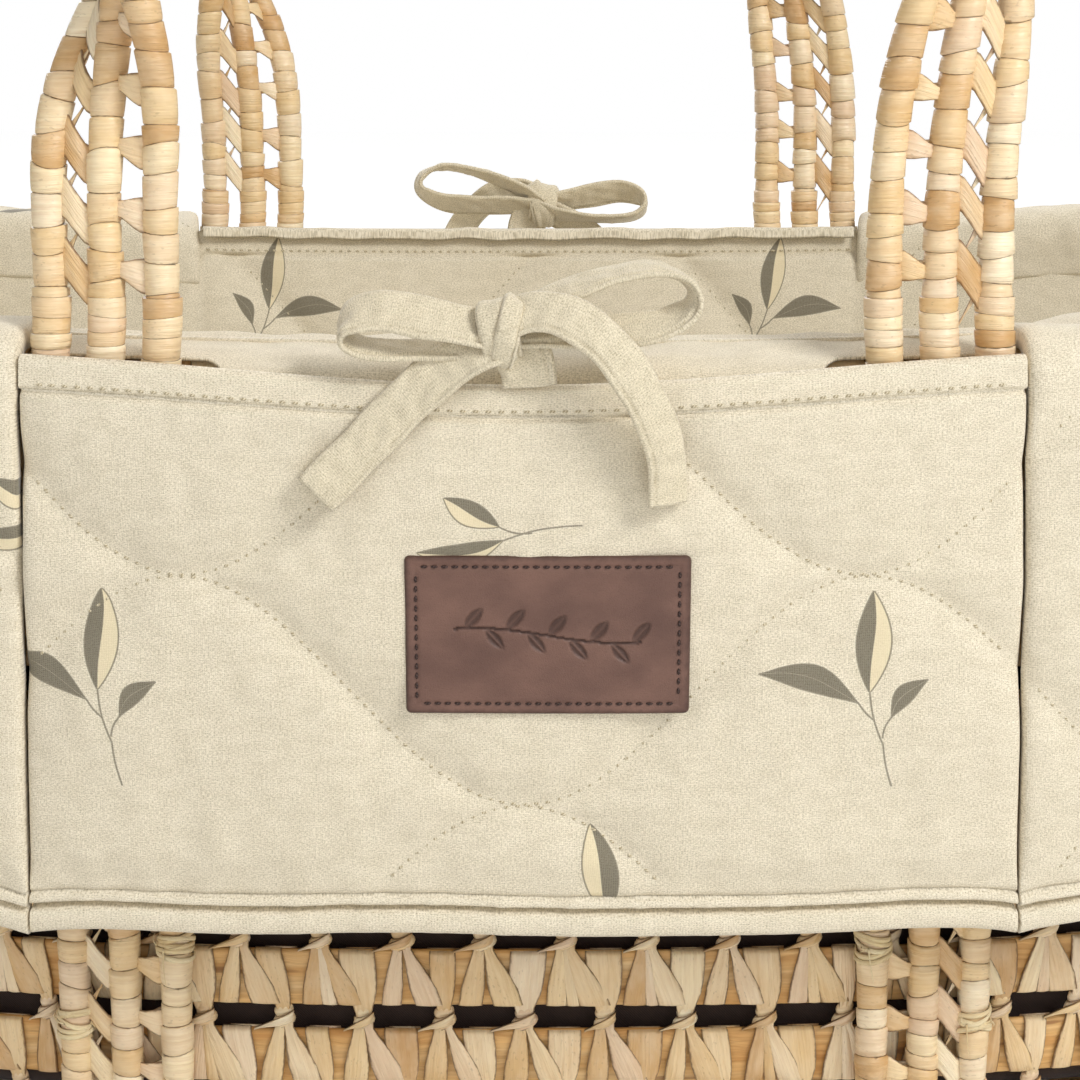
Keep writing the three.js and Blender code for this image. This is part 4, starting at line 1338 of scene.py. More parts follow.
    def base(self) -> bpy.types.Object:
        """The base: lengthwise slats crossed by leaf strips, inside a wrapped foot rod."""
        draft = Draft()
        dice = np.random.default_rng(SEED + 950)
        Wrapping(radius=self.foot_radius, low=6.0, high=10.0).lay(draft, on_foot, 0, WALL.perimeter, dice)
        long, wide = WALL.rim_length / 2 - WALL.end_flare, WALL.rim_width / 2 - WALL.side_flare
        half = Vector((long - WALL.thickness, wide - WALL.thickness, WALL.base_thickness / 2))
        pitch = 2 * half.y / self.base_slats
        power = WALL.oval_power
        for number in range(self.base_slats):
            y = (number + 0.5) * pitch - half.y
            reach = half.x * (1 - ((abs(y) + 0.3 * pitch) / half.y) ** power) ** (1 / power)
            self.bar(draft, Vector((0, y, half.z)), Vector((reach, 0.43 * pitch, 2.4)), 1, dice.uniform())
        strips = int(2 * half.x / self.unit)
        for number in range(1, strips):
            x = number * 2 * half.x / strips - half.x
            reach = half.y * (1 - (abs(x) / half.x) ** power) ** (1 / power)
            for height in (2.8, 9.2):
                self.bar(draft, Vector((x, 0, height)), Vector((5.6, reach, 0.5)), 0, dice.uniform())
        piece = draft.piece("base_slats_and_leaf", [LEAF, SLAT])
        return place(piece, "basket", "cane", "woven_base")

    @staticmethod
    def bar(draft: Draft, centre: Vector, half: Vector, slot: int, shade: float) -> None:
        """A flat bar with eased edges, along whichever of X and Y it is longer in."""
        long, wide = (0, 1) if half.x > half.y else (1, 0)
        eased = 0.4 * half.z
        side = np.array([-1, -1, 1, 1, 1, 1, -1, -1, -1])
        inset = np.array([0, 1, 1, 0, 0, 1, 1, 0, 0])
        lift = np.array([-1, -1, -1, -1, 1, 1, 1, 1, -1]) * (half.z - eased * (1 - inset))
        along = np.linspace(-1, 1, 13)[:, None] * half[long]
        aside = side * (half[wide] - eased * inset)
        points = np.zeros((1, 13, 9, 3))
        points[..., long] = centre[long] + along
        points[..., wide] = centre[wide] + aside
        points[..., 2] = centre.z + lift
        layout = np.stack(np.broadcast_arrays(along, aside), axis=-1)
        draft.tubes(points, layout[None], shade=shade, slot=slot)


# ---- handles and straps ---------------------------------------------------------------------------
class Track:
    """A route that three rods follow side by side."""

    def pitch(self, along: np.ndarray) -> np.ndarray:
        """The rods' spacing at places along the route."""
        return np.full_like(along, FIT.rod_pitch)

    def frames(self, along: np.ndarray) -> tuple[np.ndarray, np.ndarray, np.ndarray]:
        """Centres, width directions and facings at places along the route."""
        raise NotImplementedError

    def line(self, place_across: float) -> Surface:
        """A surface about a rod, or about the gap between two rods at a place of a half."""

        def points(aside: np.ndarray, along: np.ndarray, lift: np.ndarray) -> np.ndarray:
            """Points beside and in front of that line."""
            aside, along, lift = np.broadcast_arrays(aside, along, lift)
            centre, across, facing = self.frames(along)
            reach = place_across * self.pitch(along) + aside
            return centre + across * reach[..., None] + facing * lift[..., None]

        return points


@dataclass(frozen=True)
class LoopTrack(Track):
    """The loop that a handle follows: two straight legs and a half ellipse, turning edge on."""

    side: Side
    straight: float = 95.0
    arch: float = 165.0
    left_twist: tuple[float, float] = (38.0, 122.0)
    right_twist: tuple[float, float] = (50.0, 170.0)
    sway: float = 20.0
    sway_height: tuple[float, float] = (25.0, 200.0)
    gather: float = 48.0
    grip: float = 130.0
    grip_pitch: float = 10.2
    samples: int = 1200

    @cached_property
    def _line(self) -> tuple[np.ndarray, np.ndarray]:
        """Lengths along the loop and the points that they belong to, in its own plane."""
        turn = np.linspace(math.pi, 0, self.samples)
        arch = np.stack([FIT.leg_x * np.cos(turn), self.straight + self.arch * np.sin(turn)], axis=-1)
        points = np.concatenate([[[-FIT.leg_x, 0]], arch, [[FIT.leg_x, 0]]])
        steps = np.linalg.norm(np.diff(points, axis=0), axis=-1)
        return np.concatenate([[0], np.cumsum(steps)]), points

    @property
    def length(self) -> float:
        """The loop's whole length."""
        return float(self._line[0][-1])

    @property
    def grip_start(self) -> float:
        """Where the grip begins."""
        return (self.length - self.grip) / 2

    @cached_property
    def leg(self) -> tuple[float, float]:
        """The rods' distance from the middle of the basket, and the tilt of a leg's strap."""
        point, facing = WALL.face(WALL.turn_at(FIT.leg_x, WALL.side_height), WALL.side_height)
        return point[1] + FIT.strap_offset / facing[1], math.atan2(facing[0], facing[1])

    def pitch(self, along: np.ndarray) -> np.ndarray:
        """The rods' spacing at a length along the loop."""
        near = np.minimum(along, self.length - along)
        share = ease(near, self.grip_start - self.gather, self.grip_start)
        return mixed(FIT.rod_pitch, self.grip_pitch, share)

    def frames(self, along: np.ndarray) -> tuple[np.ndarray, np.ndarray, np.ndarray]:
        """Centres, width directions and facings at lengths along the loop."""
        lengths, line = self._line
        inside = np.clip(along, 0, self.length)
        x, height = (np.interp(inside, lengths, line[:, axis]) for axis in (0, 1))
        step = 0.5
        before, after = (
            np.stack([np.interp(near, lengths, line[:, axis]) for axis in (0, 1)], axis=-1)
            for near in (np.clip(inside - step, 0, None), np.clip(inside + step, None, self.length))
        )
        tangent = after - before
        tangent /= np.linalg.norm(tangent, axis=-1, keepdims=True)
        height = height + np.minimum(along, 0) + np.minimum(self.length - along, 0)
        near = np.minimum(along, self.length - along)
        left, right = (ease(near, *twist) for twist in (self.left_twist, self.right_twist))
        rod_y, tilt = self.leg
        twist = mixed(tilt, math.pi / 2, np.where(along < self.length / 2, left, right))
        inwards = -self.side.value * np.sin(twist)
        level = np.cos(twist)
        across = np.stack([-tangent[..., 1] * level, inwards, tangent[..., 0] * level], axis=-1)
        forward = np.stack([tangent[..., 0], np.zeros_like(twist), tangent[..., 1]], axis=-1)
        x = x - self.side.value * self.sway * ease(height, *self.sway_height)
        y = np.full_like(x, self.side.value * rod_y)
        return np.stack([x, y, FIT.leg_bottom + height], axis=-1), across, np.cross(forward, across)


@dataclass(frozen=True)
class StrapTrack(Track):
    """The strap that lies on the wall below one leg of a handle."""

    side: Side
    end: End
    foot: float = 16.0
    splay: float = 7.0
    climb: float = 24.0

    def frames(self, height: np.ndarray) -> tuple[np.ndarray, np.ndarray, np.ndarray]:
        """Centres, width directions and facings at heights."""
        x = mixed(FIT.leg_x + self.splay, FIT.leg_x, height / WALL.side_height)
        start = WALL.side_height - 2 * WALL.rim_diameter
        share = np.clip((height - start) / self.climb, 0, 1)
        point, facing = WALL.face(WALL.turn_at(x, height), height)
        centre = point + facing * mixed(FIT.foot_offset, FIT.strap_offset, share)[..., None]
        across = np.stack([facing[..., 1], -facing[..., 0], np.zeros_like(x)], axis=-1)
        mirror = np.array([self.end.value, self.side.value, 1.0])
        return centre * mirror, across * mirror, facing * mirror


@dataclass(frozen=True)
class FoldTrack:
    """The short bend between a strap on the wall and the handle's leg above it."""

    strap: StrapTrack
    loop: LoopTrack

    def line(self, place_across: float) -> Surface:
        """A surface about a rod at a place across the strap."""
        below, above = self.strap.line(place_across), self.loop.line(place_across)
        outward = 1.0 if self.strap.side is Side.FRONT else -1.0

        def points(aside: np.ndarray, along: np.ndarray, lift: np.ndarray) -> np.ndarray:
            """Points beside and in front of the rod, along being a height."""
            leg = along - FIT.leg_bottom
            length = leg if self.strap.end is End.LEFT else self.loop.length - leg
            share = ease(along, FIT.strap_top - 3, FIT.leg_bottom + 3)[..., None]
            return mixed(below(aside, along, lift), above(aside, length, lift * outward), share)

        return points


@dataclass
class Lacing:
    """Leaf links that lace two neighbouring rods together, all falling the same way."""

    pitch: float = 18.0
    reach: float = 6.6
    sail_fall: float = 4.4
    sail_half: float = 5.7
    link_fall: float = 1.0
    link_half: tuple[float, float] = (2.0, 4.4)
    bulge: float = 2.6

    def lay(
        self,
        draft: Draft,
        line: Surface,
        start: float,
        end: float,
        broad: bool,
        dice: np.random.Generator,
        fall: float,
    ) -> None:
        """Adds links between two rods.

        Args:
            draft: takes the mesh.
            line: the surface about the gap, seen from its middle rod outwards.
            start: the lowest link's place.
            end: the highest link's place.
            broad: sail-shaped leaves, or else short waisted links.
            dice: the source of their irregularity.
            fall: 1 where lengths grow as a link goes away from the middle rod, or -1.
        """
        count = max(round(abs(end - start) / self.pitch), 1)
        middle = start + (np.arange(count) + 0.5) * (end - start) / count
        middle = (middle + dice.normal(0, 0.8, count))[:, None]
        apart = np.linspace(-1, 1, 11)
        slope = np.clip(2 * apart, -1, 1)
        bow = self.bulge * np.cos(0.5 * math.pi * apart)
        if broad:
            size = self.sail_half * dice.uniform(0.82, 1.18, (count, 1))
            drop = self.sail_fall * slope
            wedge = mixed(0.5, 3.6, ease(apart, -0.2, 0.9))
            plans = ((drop, size * (1 + 0.06 * apart), 1.0), (0.55 * self.pitch - 1.4 * drop, wedge, 0.5))
        else:
            size = mixed(*self.link_half, ease(apart, -0.6, 0.6)) * dice.uniform(0.85, 1.2, (count, 1))
            plans = ((self.link_fall * slope, size, 1.0), (-self.link_fall * slope, 0.6 * size, -0.5))
        for drop, half, lift in plans:
            Blades(
                aside=apart * self.reach,
                along=middle + fall * drop,
                lift=bow * lift,
                half=half,
                lean=math.pi / 2,
                crown=0.4,
                thickness=0.6,
                pleat=0.15,
            ).add_to(draft, line, dice.uniform(0, 1, count))


@dataclass
class Tie:
    """A few turns of raffia round one rod, with loose ends."""

    radius: float = 5.35
    strands: int = 5
    strand: float = 0.55
    height: float = 6.5
    stations: int = 40

    def lay(self, draft: Draft, line: Surface, height: float, dice: np.random.Generator) -> None:
        """Adds the strands about a height on a rod."""
        section = np.linspace(0, TAU, 7)
        for strand in range(self.strands):
            share = np.linspace(0, 1, self.stations)
            turn = TAU * (1.35 * share + dice.uniform())
            tilt, phase = dice.uniform(0.6, 2.2), dice.uniform(0, TAU)
            rise = (strand / (self.strands - 1) - 0.5) * self.height + tilt * np.sin(turn + phase)
            out = self.radius + 0.5 * self.strand * dice.uniform(0.6, 1.6) + 0.25 * np.sin(3 * turn + strand)
            flat = 1.7 * self.strand * np.cos(section)
            thick = 0.7 * self.strand * np.sin(section)
            wide = out[:, None] + thick
            cosine, sine = np.cos(turn)[:, None], np.sin(turn)[:, None]
            points = line(wide * cosine, height + rise[:, None] + flat, wide * sine)
            layout = np.stack(np.broadcast_arrays((turn * self.radius)[:, None], flat), axis=-1)
            draft.tubes(points[None], layout[None], shade=dice.uniform())
        for _ in range(3):
            share = np.linspace(0, 1, 12)[:, None]
            start, drift, fall = dice.uniform(-1.2, 1.2), dice.uniform(-0.9, 0.9), dice.uniform(-16, 4)
            turn = 0.5 * math.pi + start + drift * share
            out = self.radius + 0.9 + 0.7 * np.sin(math.pi * share)
            thin = 0.28 * (1.2 - share)
            points = line(
                out * np.cos(turn) + thin * np.cos(section),
                height + fall * share + thin * np.sin(section),
                out * np.sin(turn) + 0.0 * section,
            )
            layout = np.stack(np.broadcast_arrays(20 * share, thin * section), axis=-1)
            draft.tubes(points[None], layout[None], shade=dice.uniform())


@dataclass
class Handle:
    """One handle: three wrapped rods, their lacing and the wound grip."""

    side: Side
    radius: float = 4.45

    @property
    def body(self) -> str:
        """The name of the body that the handle moves with."""
        return f"{self.side.name.lower()}_handle"

    @property
    def track(self) -> LoopTrack:
        """The loop that the handle follows."""
        return LoopTrack(self.side)

    def build(self) -> None:
        """Makes every piece of the handle."""
        track = self.track
        for rod in Rod:
            self.rod(track, rod)
        for end in End:
            for rod in (Rod.INNER, Rod.OUTER):
                self.lacing(track, end, rod)
        self.grip(track)

    def rod(self, track: LoopTrack, rod: Rod) -> bpy.types.Object:
        """One rod from foot to foot."""
        draft = Draft()
        dice = np.random.default_rng(SEED + 40 * self.side.value + rod.value)
        wrapped = Wrapping(radius=self.radius, low=5.4, high=11.5, tilt=0.12)
        wrapped.lay(draft, track.line(rod.value), 0, track.length, dice)
        name = f"{self.body}_{rod.name.lower()}_rod"
        return place(draft.piece(name + "_wrapped", [LEAF]), self.body, "palm_leaf", name)

    def lacing(self, track: LoopTrack, end: End, rod: Rod) -> bpy.types.Object:
        """The links of one gap on one leg."""
        draft = Draft()
        dice = np.random.default_rng(SEED + 77 * self.side.value + 3 * end.value + rod.value)
        first, last = 3.0, track.grip_start - 22
        if end is End.RIGHT:
            first, last = track.length - first, track.length - last
        outer = track.line(rod.value / 2)
        mirror = float(rod.value)

        def line(aside: np.ndarray, along: np.ndarray, lift: np.ndarray) -> np.ndarray:
            """The gap seen from its middle rod outwards, with the outside of the basket in front."""
            share = track.pitch(along) / FIT.rod_pitch
            return outer(aside * mirror * share, along, lift)

        Lacing().lay(draft, line, first, last, rod is Rod.OUTER, dice, mirror)
        name = f"{self.side.name.lower()}_{end.name.lower()}_{rod.name.lower()}_lacing"
        return place(draft.piece(name + "_leaf", [LEAF]), self.body, "palm_leaf", name)

    def grip(self, track: LoopTrack) -> bpy.types.Object:
        """The grip: broad leaf wound over all three rods."""
        draft = Draft()
        dice = np.random.default_rng(SEED + 60 + self.side.value)
        wound = Wrapping(
            radius=6.6, low=7.0, high=11.0, leaf=0.6, sides=32, stretch=(2.5, 1.0), squareness=0.72
        )
        start, end = track.grip_start, track.length - track.grip_start
        wound.lay(draft, track.line(0.0), start, end, dice)
        name = f"{self.side.name.lower()}_grip"
        return place(draft.piece(name + "_wound", [LEAF]), self.body, "palm_leaf", name)


@dataclass
class WallStrap:
    """A strap laced on the wall below one leg, its two ties, and the bend up to the handle."""

    side: Side
    end: End
    radius: float = 4.45
    fold_start: float = 253.0
    fold_end: float = 277.0

    @property
    def name(self) -> str:
        """The start of the pieces' names."""
        return f"{self.side.name.lower()}_{self.end.name.lower()}"

    def build(self) -> None:
        """Makes the strap, the bend and both ties."""
        track = StrapTrack(self.side, self.end)
        dice = np.random.default_rng(SEED + 200 + 10 * self.side.value + self.end.value)
        draft = Draft()
        for rod in Rod:
            wrapped = Wrapping(radius=self.radius, low=5.4, high=11.0, tilt=0.13)
            wrapped.lay(draft, track.line(rod.value), track.foot, FIT.strap_top, dice)
        for rod in (Rod.INNER, Rod.OUTER):
            self.lacing(draft, track, rod, dice)
        place(draft.piece(f"{self.name}_strap_laced", [LEAF]), "basket", "palm_leaf", f"{self.name}_strap")
        self.bend(track, dice)
        for number, rod in ((2, Rod.INNER), (1, Rod.OUTER)):
            turn = math.pi / 2
            height = float(WALL.course(turn, number)[1] + WALL.gap_height(turn) / 2)
            knot = Draft()
            Tie().lay(knot, track.line(rod.value), height, dice)
            name = f"{self.name}_{rod.name.lower()}_tie"
            place(knot.piece(name + "_raffia", [RAFFIA]), "basket", "twine", name)

    def lacing(self, draft: Draft, track: StrapTrack, rod: Rod, dice: np.random.Generator) -> None:
        """The links of one gap, down the whole strap."""
        outer = track.line(rod.value / 2)
        mirror = float(rod.value)

        def line(aside: np.ndarray, along: np.ndarray, lift: np.ndarray) -> np.ndarray:
            """The gap seen from its middle rod outwards."""
            return outer(aside * mirror, along, lift)

        fall = -mirror * self.end.value
        Lacing().lay(draft, line, track.foot + 2, FIT.strap_top - 4, rod is Rod.OUTER, dice, fall)

    def bend(self, track: StrapTrack, dice: np.random.Generator) -> bpy.types.Object:
        """The three rods where they bend, from the strap on the wall up into the handle's leg."""
        draft = Draft()
        loop = LoopTrack(self.side)
        fold = FoldTrack(track, loop)
        for rod in Rod:
            wrapped = Wrapping(radius=self.radius + 0.95, low=4.0, high=6.0, leaf=0.35, tilt=0.05)
            wrapped.lay(draft, fold.line(rod.value), self.fold_start, self.fold_end, dice)
        piece = draft.piece(f"{self.name}_bend", [LEAF])
        middle = track.frames(np.array(FIT.fold_height))[0] * MM
        f"{self.side.name.lower()}_handle"
        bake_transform(piece)
        log.info("%s: %d faces", piece.name, len(piece.data.polygons))
        return piece


# ---- quilted cloth --------------------------------------------------------------------------------
def smooth_path(points: Sequence[Sequence[float]], count: int) -> np.ndarray:
    """A smooth line through points.

    Args:
        points: what the line passes through; each may hold any number of values.
        count: how many points to give back.

    Returns:
        The points of a Catmull-Rom line, spread evenly by parameter.
    """
    known = np.array(points, float)
    padded = np.concatenate([2 * known[:1] - known[1:2], known, 2 * known[-1:] - known[-2:-1]])
    place = np.linspace(0, len(known) - 1, count)
    number = np.minimum(place.astype(int), len(known) - 2)
    t = (place - number)[:, None]
    p0, p1, p2, p3 = (padded[number + step] for step in range(4))
    square, cube = 2 * p0 - 5 * p1 + 4 * p2 - p3, 3 * p1 - p0 - 3 * p2 + p3
    return 0.5 * (2 * p1 + (p2 - p0) * t + square * t**2 + cube * t**3)


@dataclass(frozen=True)
class Quilting:
    """Facing pairs of sewn waves, with padding that swells between them."""

    first: float = 28.5
    spacing: float = 69.5
    swing: float = 34.5
    wave: float = 193.0
    puff: float = 3.4
    width: float = 7.5
    lines: tuple[int, ...] = (-1, 0, 1, 2, 3)

    def line(self, along: np.ndarray, number: int) -> np.ndarray:
        """How far down a sewn line is."""
        way = 1 if number % 2 else -1
        return self.first + self.spacing * number + way * self.swing * np.cos(TAU * along / self.wave)

    def relief(self, along: np.ndarray, down: np.ndarray) -> np.ndarray:
        """The padding's height, with small puckers beside the stitches."""
        nearest = np.full(np.broadcast(along, down).shape, 1000.0)
        slope = TAU / self.wave * self.swing * np.sin(TAU * along / self.wave)
        for number in self.lines:
            apart = np.abs(down - self.line(along, number)) / np.sqrt(1 + slope**2)
            nearest = np.minimum(nearest, apart)
        puckers = 0.28 * np.exp(-nearest / 4.5) * np.sin(TAU * (along + 0.35 * down) / 6.2)
        slow = 0.35 * ripples(along / 75, down / 60, SEED)
        padded = (self.puff + slow) * (1 - np.exp(-((nearest / self.width) ** 1.15)))
        return padded + puckers * nearest / (nearest + 1)


QUILTING = Quilting()


def sew(
    draft: Draft,
    surface: Surface,
    along: np.ndarray,
    down: np.ndarray,
    pitch: float = 3.3,
    share: float = 0.66,
    sink: float = 0.55,
    thick: float = 0.42,
) -> None:
    """Sews a row of stitches along a line on a cloth.

    Args:
        draft: takes the mesh.
        surface: the cloth, by length along it, length down it and lift off it.
        along: the line's lengths along the cloth, closely spaced.
        down: the line's lengths down the cloth.
        pitch: from one stitch to the next.
        share: how much of the pitch a stitch covers.
        sink: how deep a stitch's ends go.
        thick: half the thread's thickness.
    """
    steps = np.hypot(np.diff(along), np.diff(down))
    length = np.concatenate([[0], np.cumsum(steps)])
    starts = np.arange(0.5 * pitch, length[-1] - pitch, pitch)
    if not len(starts):
        return
    part = np.linspace(0, 1, 5)
    places = starts[:, None] + part * pitch * share
    u, v = np.interp(places, length, along), np.interp(places, length, down)
    du = np.interp(places + 0.5, length, along) - np.interp(places - 0.5, length, along)
    dv = np.interp(places + 0.5, length, down) - np.interp(places - 0.5, length, down)
    norm = np.maximum(np.hypot(du, dv), 1e-6)
    turn = np.linspace(0, TAU, 7)
    taper = np.array([0.5, 0.95, 1.05, 0.95, 0.5])[:, None]
    aside = thick * taper * np.cos(turn)
    lift = sink * (np.sin(math.pi * part) - 0.75)[:, None] + 0.8 * thick * taper * np.sin(turn)
    points = surface(
        u[..., None] - (dv / norm)[..., None] * aside,
        v[..., None] + (du / norm)[..., None] * aside,
        np.broadcast_to(lift, u.shape + (7,)),
    )
    layout = np.stack(np.broadcast_arrays(places[..., None], aside), axis=-1)
    draft.tubes(points, layout, shade=0.5)


@dataclass
class ClothPanel:
    """A padded panel that hangs outside the wall, given by its section and its two seams.

    The section is a smooth line of (offset, depth below the rim's top), and a place on the panel is a
    run along the rim and a length down the section.
    """

    name: str
    section: tuple[tuple[float, float], ...]
    start: float
    end: float
    zero: float
    centre: float
    thickness: float = 4.6
    border: float = 2.4
    hem: float = 161.5
    lip: float = 4.2
    binding: float = 10.0
    sag: float = 0.0
    step: float = 2.2
    splay: float = 6.5

    @cached_property
    def _curve(self) -> tuple[np.ndarray, np.ndarray]:
        """Lengths down the section and its points."""
        points = smooth_path(self.section, 400)
        steps = np.linalg.norm(np.diff(points, axis=0), axis=-1)
        length = np.concatenate([[0], np.cumsum(steps)])
        return length - self.zero, points

    @property
    def top(self) -> float:
        """The length down at which the panel starts."""
        return float(self._curve[0][0])

    @property
    def bottom(self) -> float:
        """The length down at which the panel ends."""
        return float(self._curve[0][-1])

    def place_at(self, run: np.ndarray, down: np.ndarray, lift: np.ndarray) -> np.ndarray:
        """Points above the panel's plain outer face."""
        run, down, lift = np.broadcast_arrays(run, down, lift)
        lengths, points = self._curve
        offset, depth = (np.interp(down, lengths, points[:, axis]) for axis in (0, 1))
        step = 1.0
        before, after = (
            np.stack([np.interp(down + way * step, lengths, points[:, axis]) for axis in (0, 1)], axis=-1)
            for way in (-1, 1)
        )
        along = after - before
        along /= np.linalg.norm(along, axis=-1, keepdims=True)
        offset = offset + along[..., 1] * lift
        depth = depth - along[..., 0] * lift
        share = (run - self.start) / (self.end - self.start)
        turn = WALL.turn_of(run + self.splay * self.spread(run) * np.clip(down / self.bottom, 0, 1))
        drop = self.sag * np.sin(math.pi * share) ** 2 * np.clip(1 - down / 60, 0, 1)
        wave = 0.8 * ripples(run / 140, np.zeros_like(run), SEED + 5) * ease(down, 90, self.bottom)
        edge = np.minimum(run - self.start, self.end - run)
        corner = 4.6 * np.exp(-edge / 20) * ease(down, 120, self.bottom)
        points3 = WALL.point(turn, WALL.rim_top(turn), offset)
        points3[..., 2] = WALL.rim_top(turn) - depth - drop - corner - wave
        return points3

    def spread(self, run: np.ndarray) -> np.ndarray:
        """How far the lower edge is drawn along the rim, by the seams' own shift."""
        if self.binding:
            return 2 * (run - self.start) / (self.end - self.start) - 1
        return np.exp((self.start - run) / 60) - np.exp((run - self.end) / 60)

    def relief(self, run: np.ndarray, down: np.ndarray) -> np.ndarray:
        """The height of the padding, hems and borders above the plain outer face."""
        run, down = np.broadcast_arrays(run, down)
        quilt = QUILTING.relief(run - self.centre, down) - 1.0
        creases = 0.35 * ripples(run / 30, down / 45, SEED + 3)
        creases += 0.25 * ripples(run / 12, down / 26, SEED + 4)
        body = quilt + creases * 0.6
        edge = np.minimum(run - self.start, self.end - run)
        body = body - 2.6 * (1 - np.sqrt(1 - np.clip(1 - edge / self.border, 0, 1) ** 2))
        body = body - 1.3 * np.exp(-edge / 5)
        groove = self.hem + self.lip
        roll_centre = (groove + self.bottom) / 2
        roll_half = (self.bottom - groove) / 2
        puffs = 0.3 * ripples(run / 9, np.zeros_like(run), SEED + 6)
        roll = (2.3 + puffs) * np.sqrt(np.clip(1 - ((down - roll_centre) / roll_half) ** 2, 0, 1)) - 0.6
        into = ease(down, self.hem - 14, self.hem - 1)
        body = mixed(body, 0.2 + 0.5 * ripples(run / 24, down / 30, SEED + 7), into)
        body = body - 1.3 * np.exp(-(((down - self.hem) / 0.7) ** 2))
        half = self.lip / 2
        lip = 2.0 * np.sqrt(np.clip(1 - ((down - self.hem - half) / half) ** 2, 0, 1)) + puffs
        height = np.where(down > self.hem, np.maximum(lip - 0.6, body), body)
        height = np.where(down > groove, roll, height)
        height = height - 3.2 * np.exp(-(((down - groove) / 0.8) ** 2))
        if self.binding:
            band = 0.5 * np.sqrt(np.clip(1 - (2 * down / self.binding - 1) ** 4, 0, 1)) + puffs * 0.5
            height = np.where(down < self.binding, band - 0.2, height)
            height = height - 1.5 * np.exp(-(((down - self.binding - 0.4) / 0.8) ** 2))
        return height

    def rounded(self, run: np.ndarray, down: np.ndarray) -> np.ndarray:
        """How far the outer face turns in at the panel's top and bottom edges."""
        near = np.minimum(down - self.top, self.bottom - down)
        radius = 2.2
        return radius * (1 - np.sqrt(1 - np.clip(1 - near / radius, 0, 1) ** 2)) + 0.0 * run

    def surface(self, run: np.ndarray, down: np.ndarray, lift: np.ndarray) -> np.ndarray:
        """Points above the panel's padded face."""
        return self.place_at(run, down, self.relief(run, down) - self.rounded(run, down) + lift)

    def build(self, body: str, nodes: tuple[str, ...], flat: tuple[float, float]) -> bpy.types.Object:
        """Args:
            body: the body that it moves with.
            nodes: the CAD nodes that it stands for.
            flat: the cut size before it was sewn in place, in metres; not used.

        Returns:
            The panel.
        """
        draft = Draft()
        runs = np.linspace(self.start, self.end, int((self.end - self.start) / self.step) + 1)
        border = self.start + np.array([0.0, 0.15, 0.5, 1.1])
        runs = np.unique(np.concatenate([border, runs, self.end + self.start - border]))
        downs = np.linspace(self.top, self.bottom, int((self.bottom - self.top) / 1.7) + 1)
        near_hem = np.linspace(self.hem - 1, self.bottom, 30)
        edges = np.array([0.0, 0.1, 0.4, 0.9, 1.5])
        downs = np.concatenate([downs, near_hem, self.top + edges, self.bottom - edges])
        if self.binding:
            downs = np.concatenate([downs, self.binding + np.linspace(-1.2, 2.4, 10)])
        downs = np.unique(np.round(np.sort(downs), 2))
        u, v = np.meshgrid(runs, downs, indexing="ij")
        outer = self.surface(u, v, np.zeros_like(u))
        inner = self.place_at(u, v, self.rounded(u, v) * 0.6 - self.thickness)
        layout = np.stack([u - self.centre, self.bottom - v], axis=-1)
        draft.shell(outer, inner, layout, lining=1)
        self.mark_binding(draft, v)
        self.stitch(draft)
        piece = draft.piece(self.name, [JERSEY, PLAIN_JERSEY, THREAD, BINDING])
        place(piece, body, "quilt", *nodes)
        return piece

    def mark_binding(self, draft: Draft, down: np.ndarray) -> None:
        """Gives the faces of the top binding and of the hem their own finish."""
        middle = (down[:-1, :-1] + down[:-1, 1:]) / 2
        bound = middle > self.hem
        if self.binding:
            bound |= middle < self.binding
        slots = np.where(bound, 3, 0).reshape(-1)
        draft.slots[0] = slots

    def stitch(self, draft: Draft) -> None:
        """Sews the waves, and the row that holds the binding where there is one."""
        fine = np.linspace(self.start + 3, self.end - 3, 900)
        before = len(draft.slots)
        for number in QUILTING.lines:
            down = QUILTING.line(fine - self.centre, number)
            low = self.top + 2 if not self.binding else self.binding + 2.5
            inside = (down > low) & (down < self.hem - 4)
            pieces = np.split(np.arange(len(fine)), np.flatnonzero(np.diff(inside.astype(int))) + 1)
            for part in pieces:
                if inside[part[0]] and len(part) > 12:
                    sew(draft, self.surface, fine[part], down[part])
        if self.binding:
            sew(draft, self.surface, fine, np.full_like(fine, self.binding - 1.8), pitch=3.6)
        for number in range(before, len(draft.slots)):
            draft.slots[number][:] = 2
        draft.cap_slots[:] = [2] * len(draft.cap_slots)


def seam_run() -> float:
    """The run at which the front flap meets the head panel."""
    turn = WALL.turn_at(FIT.seam_x, WALL.side_height)
    return float(WALL.run_of(-turn))


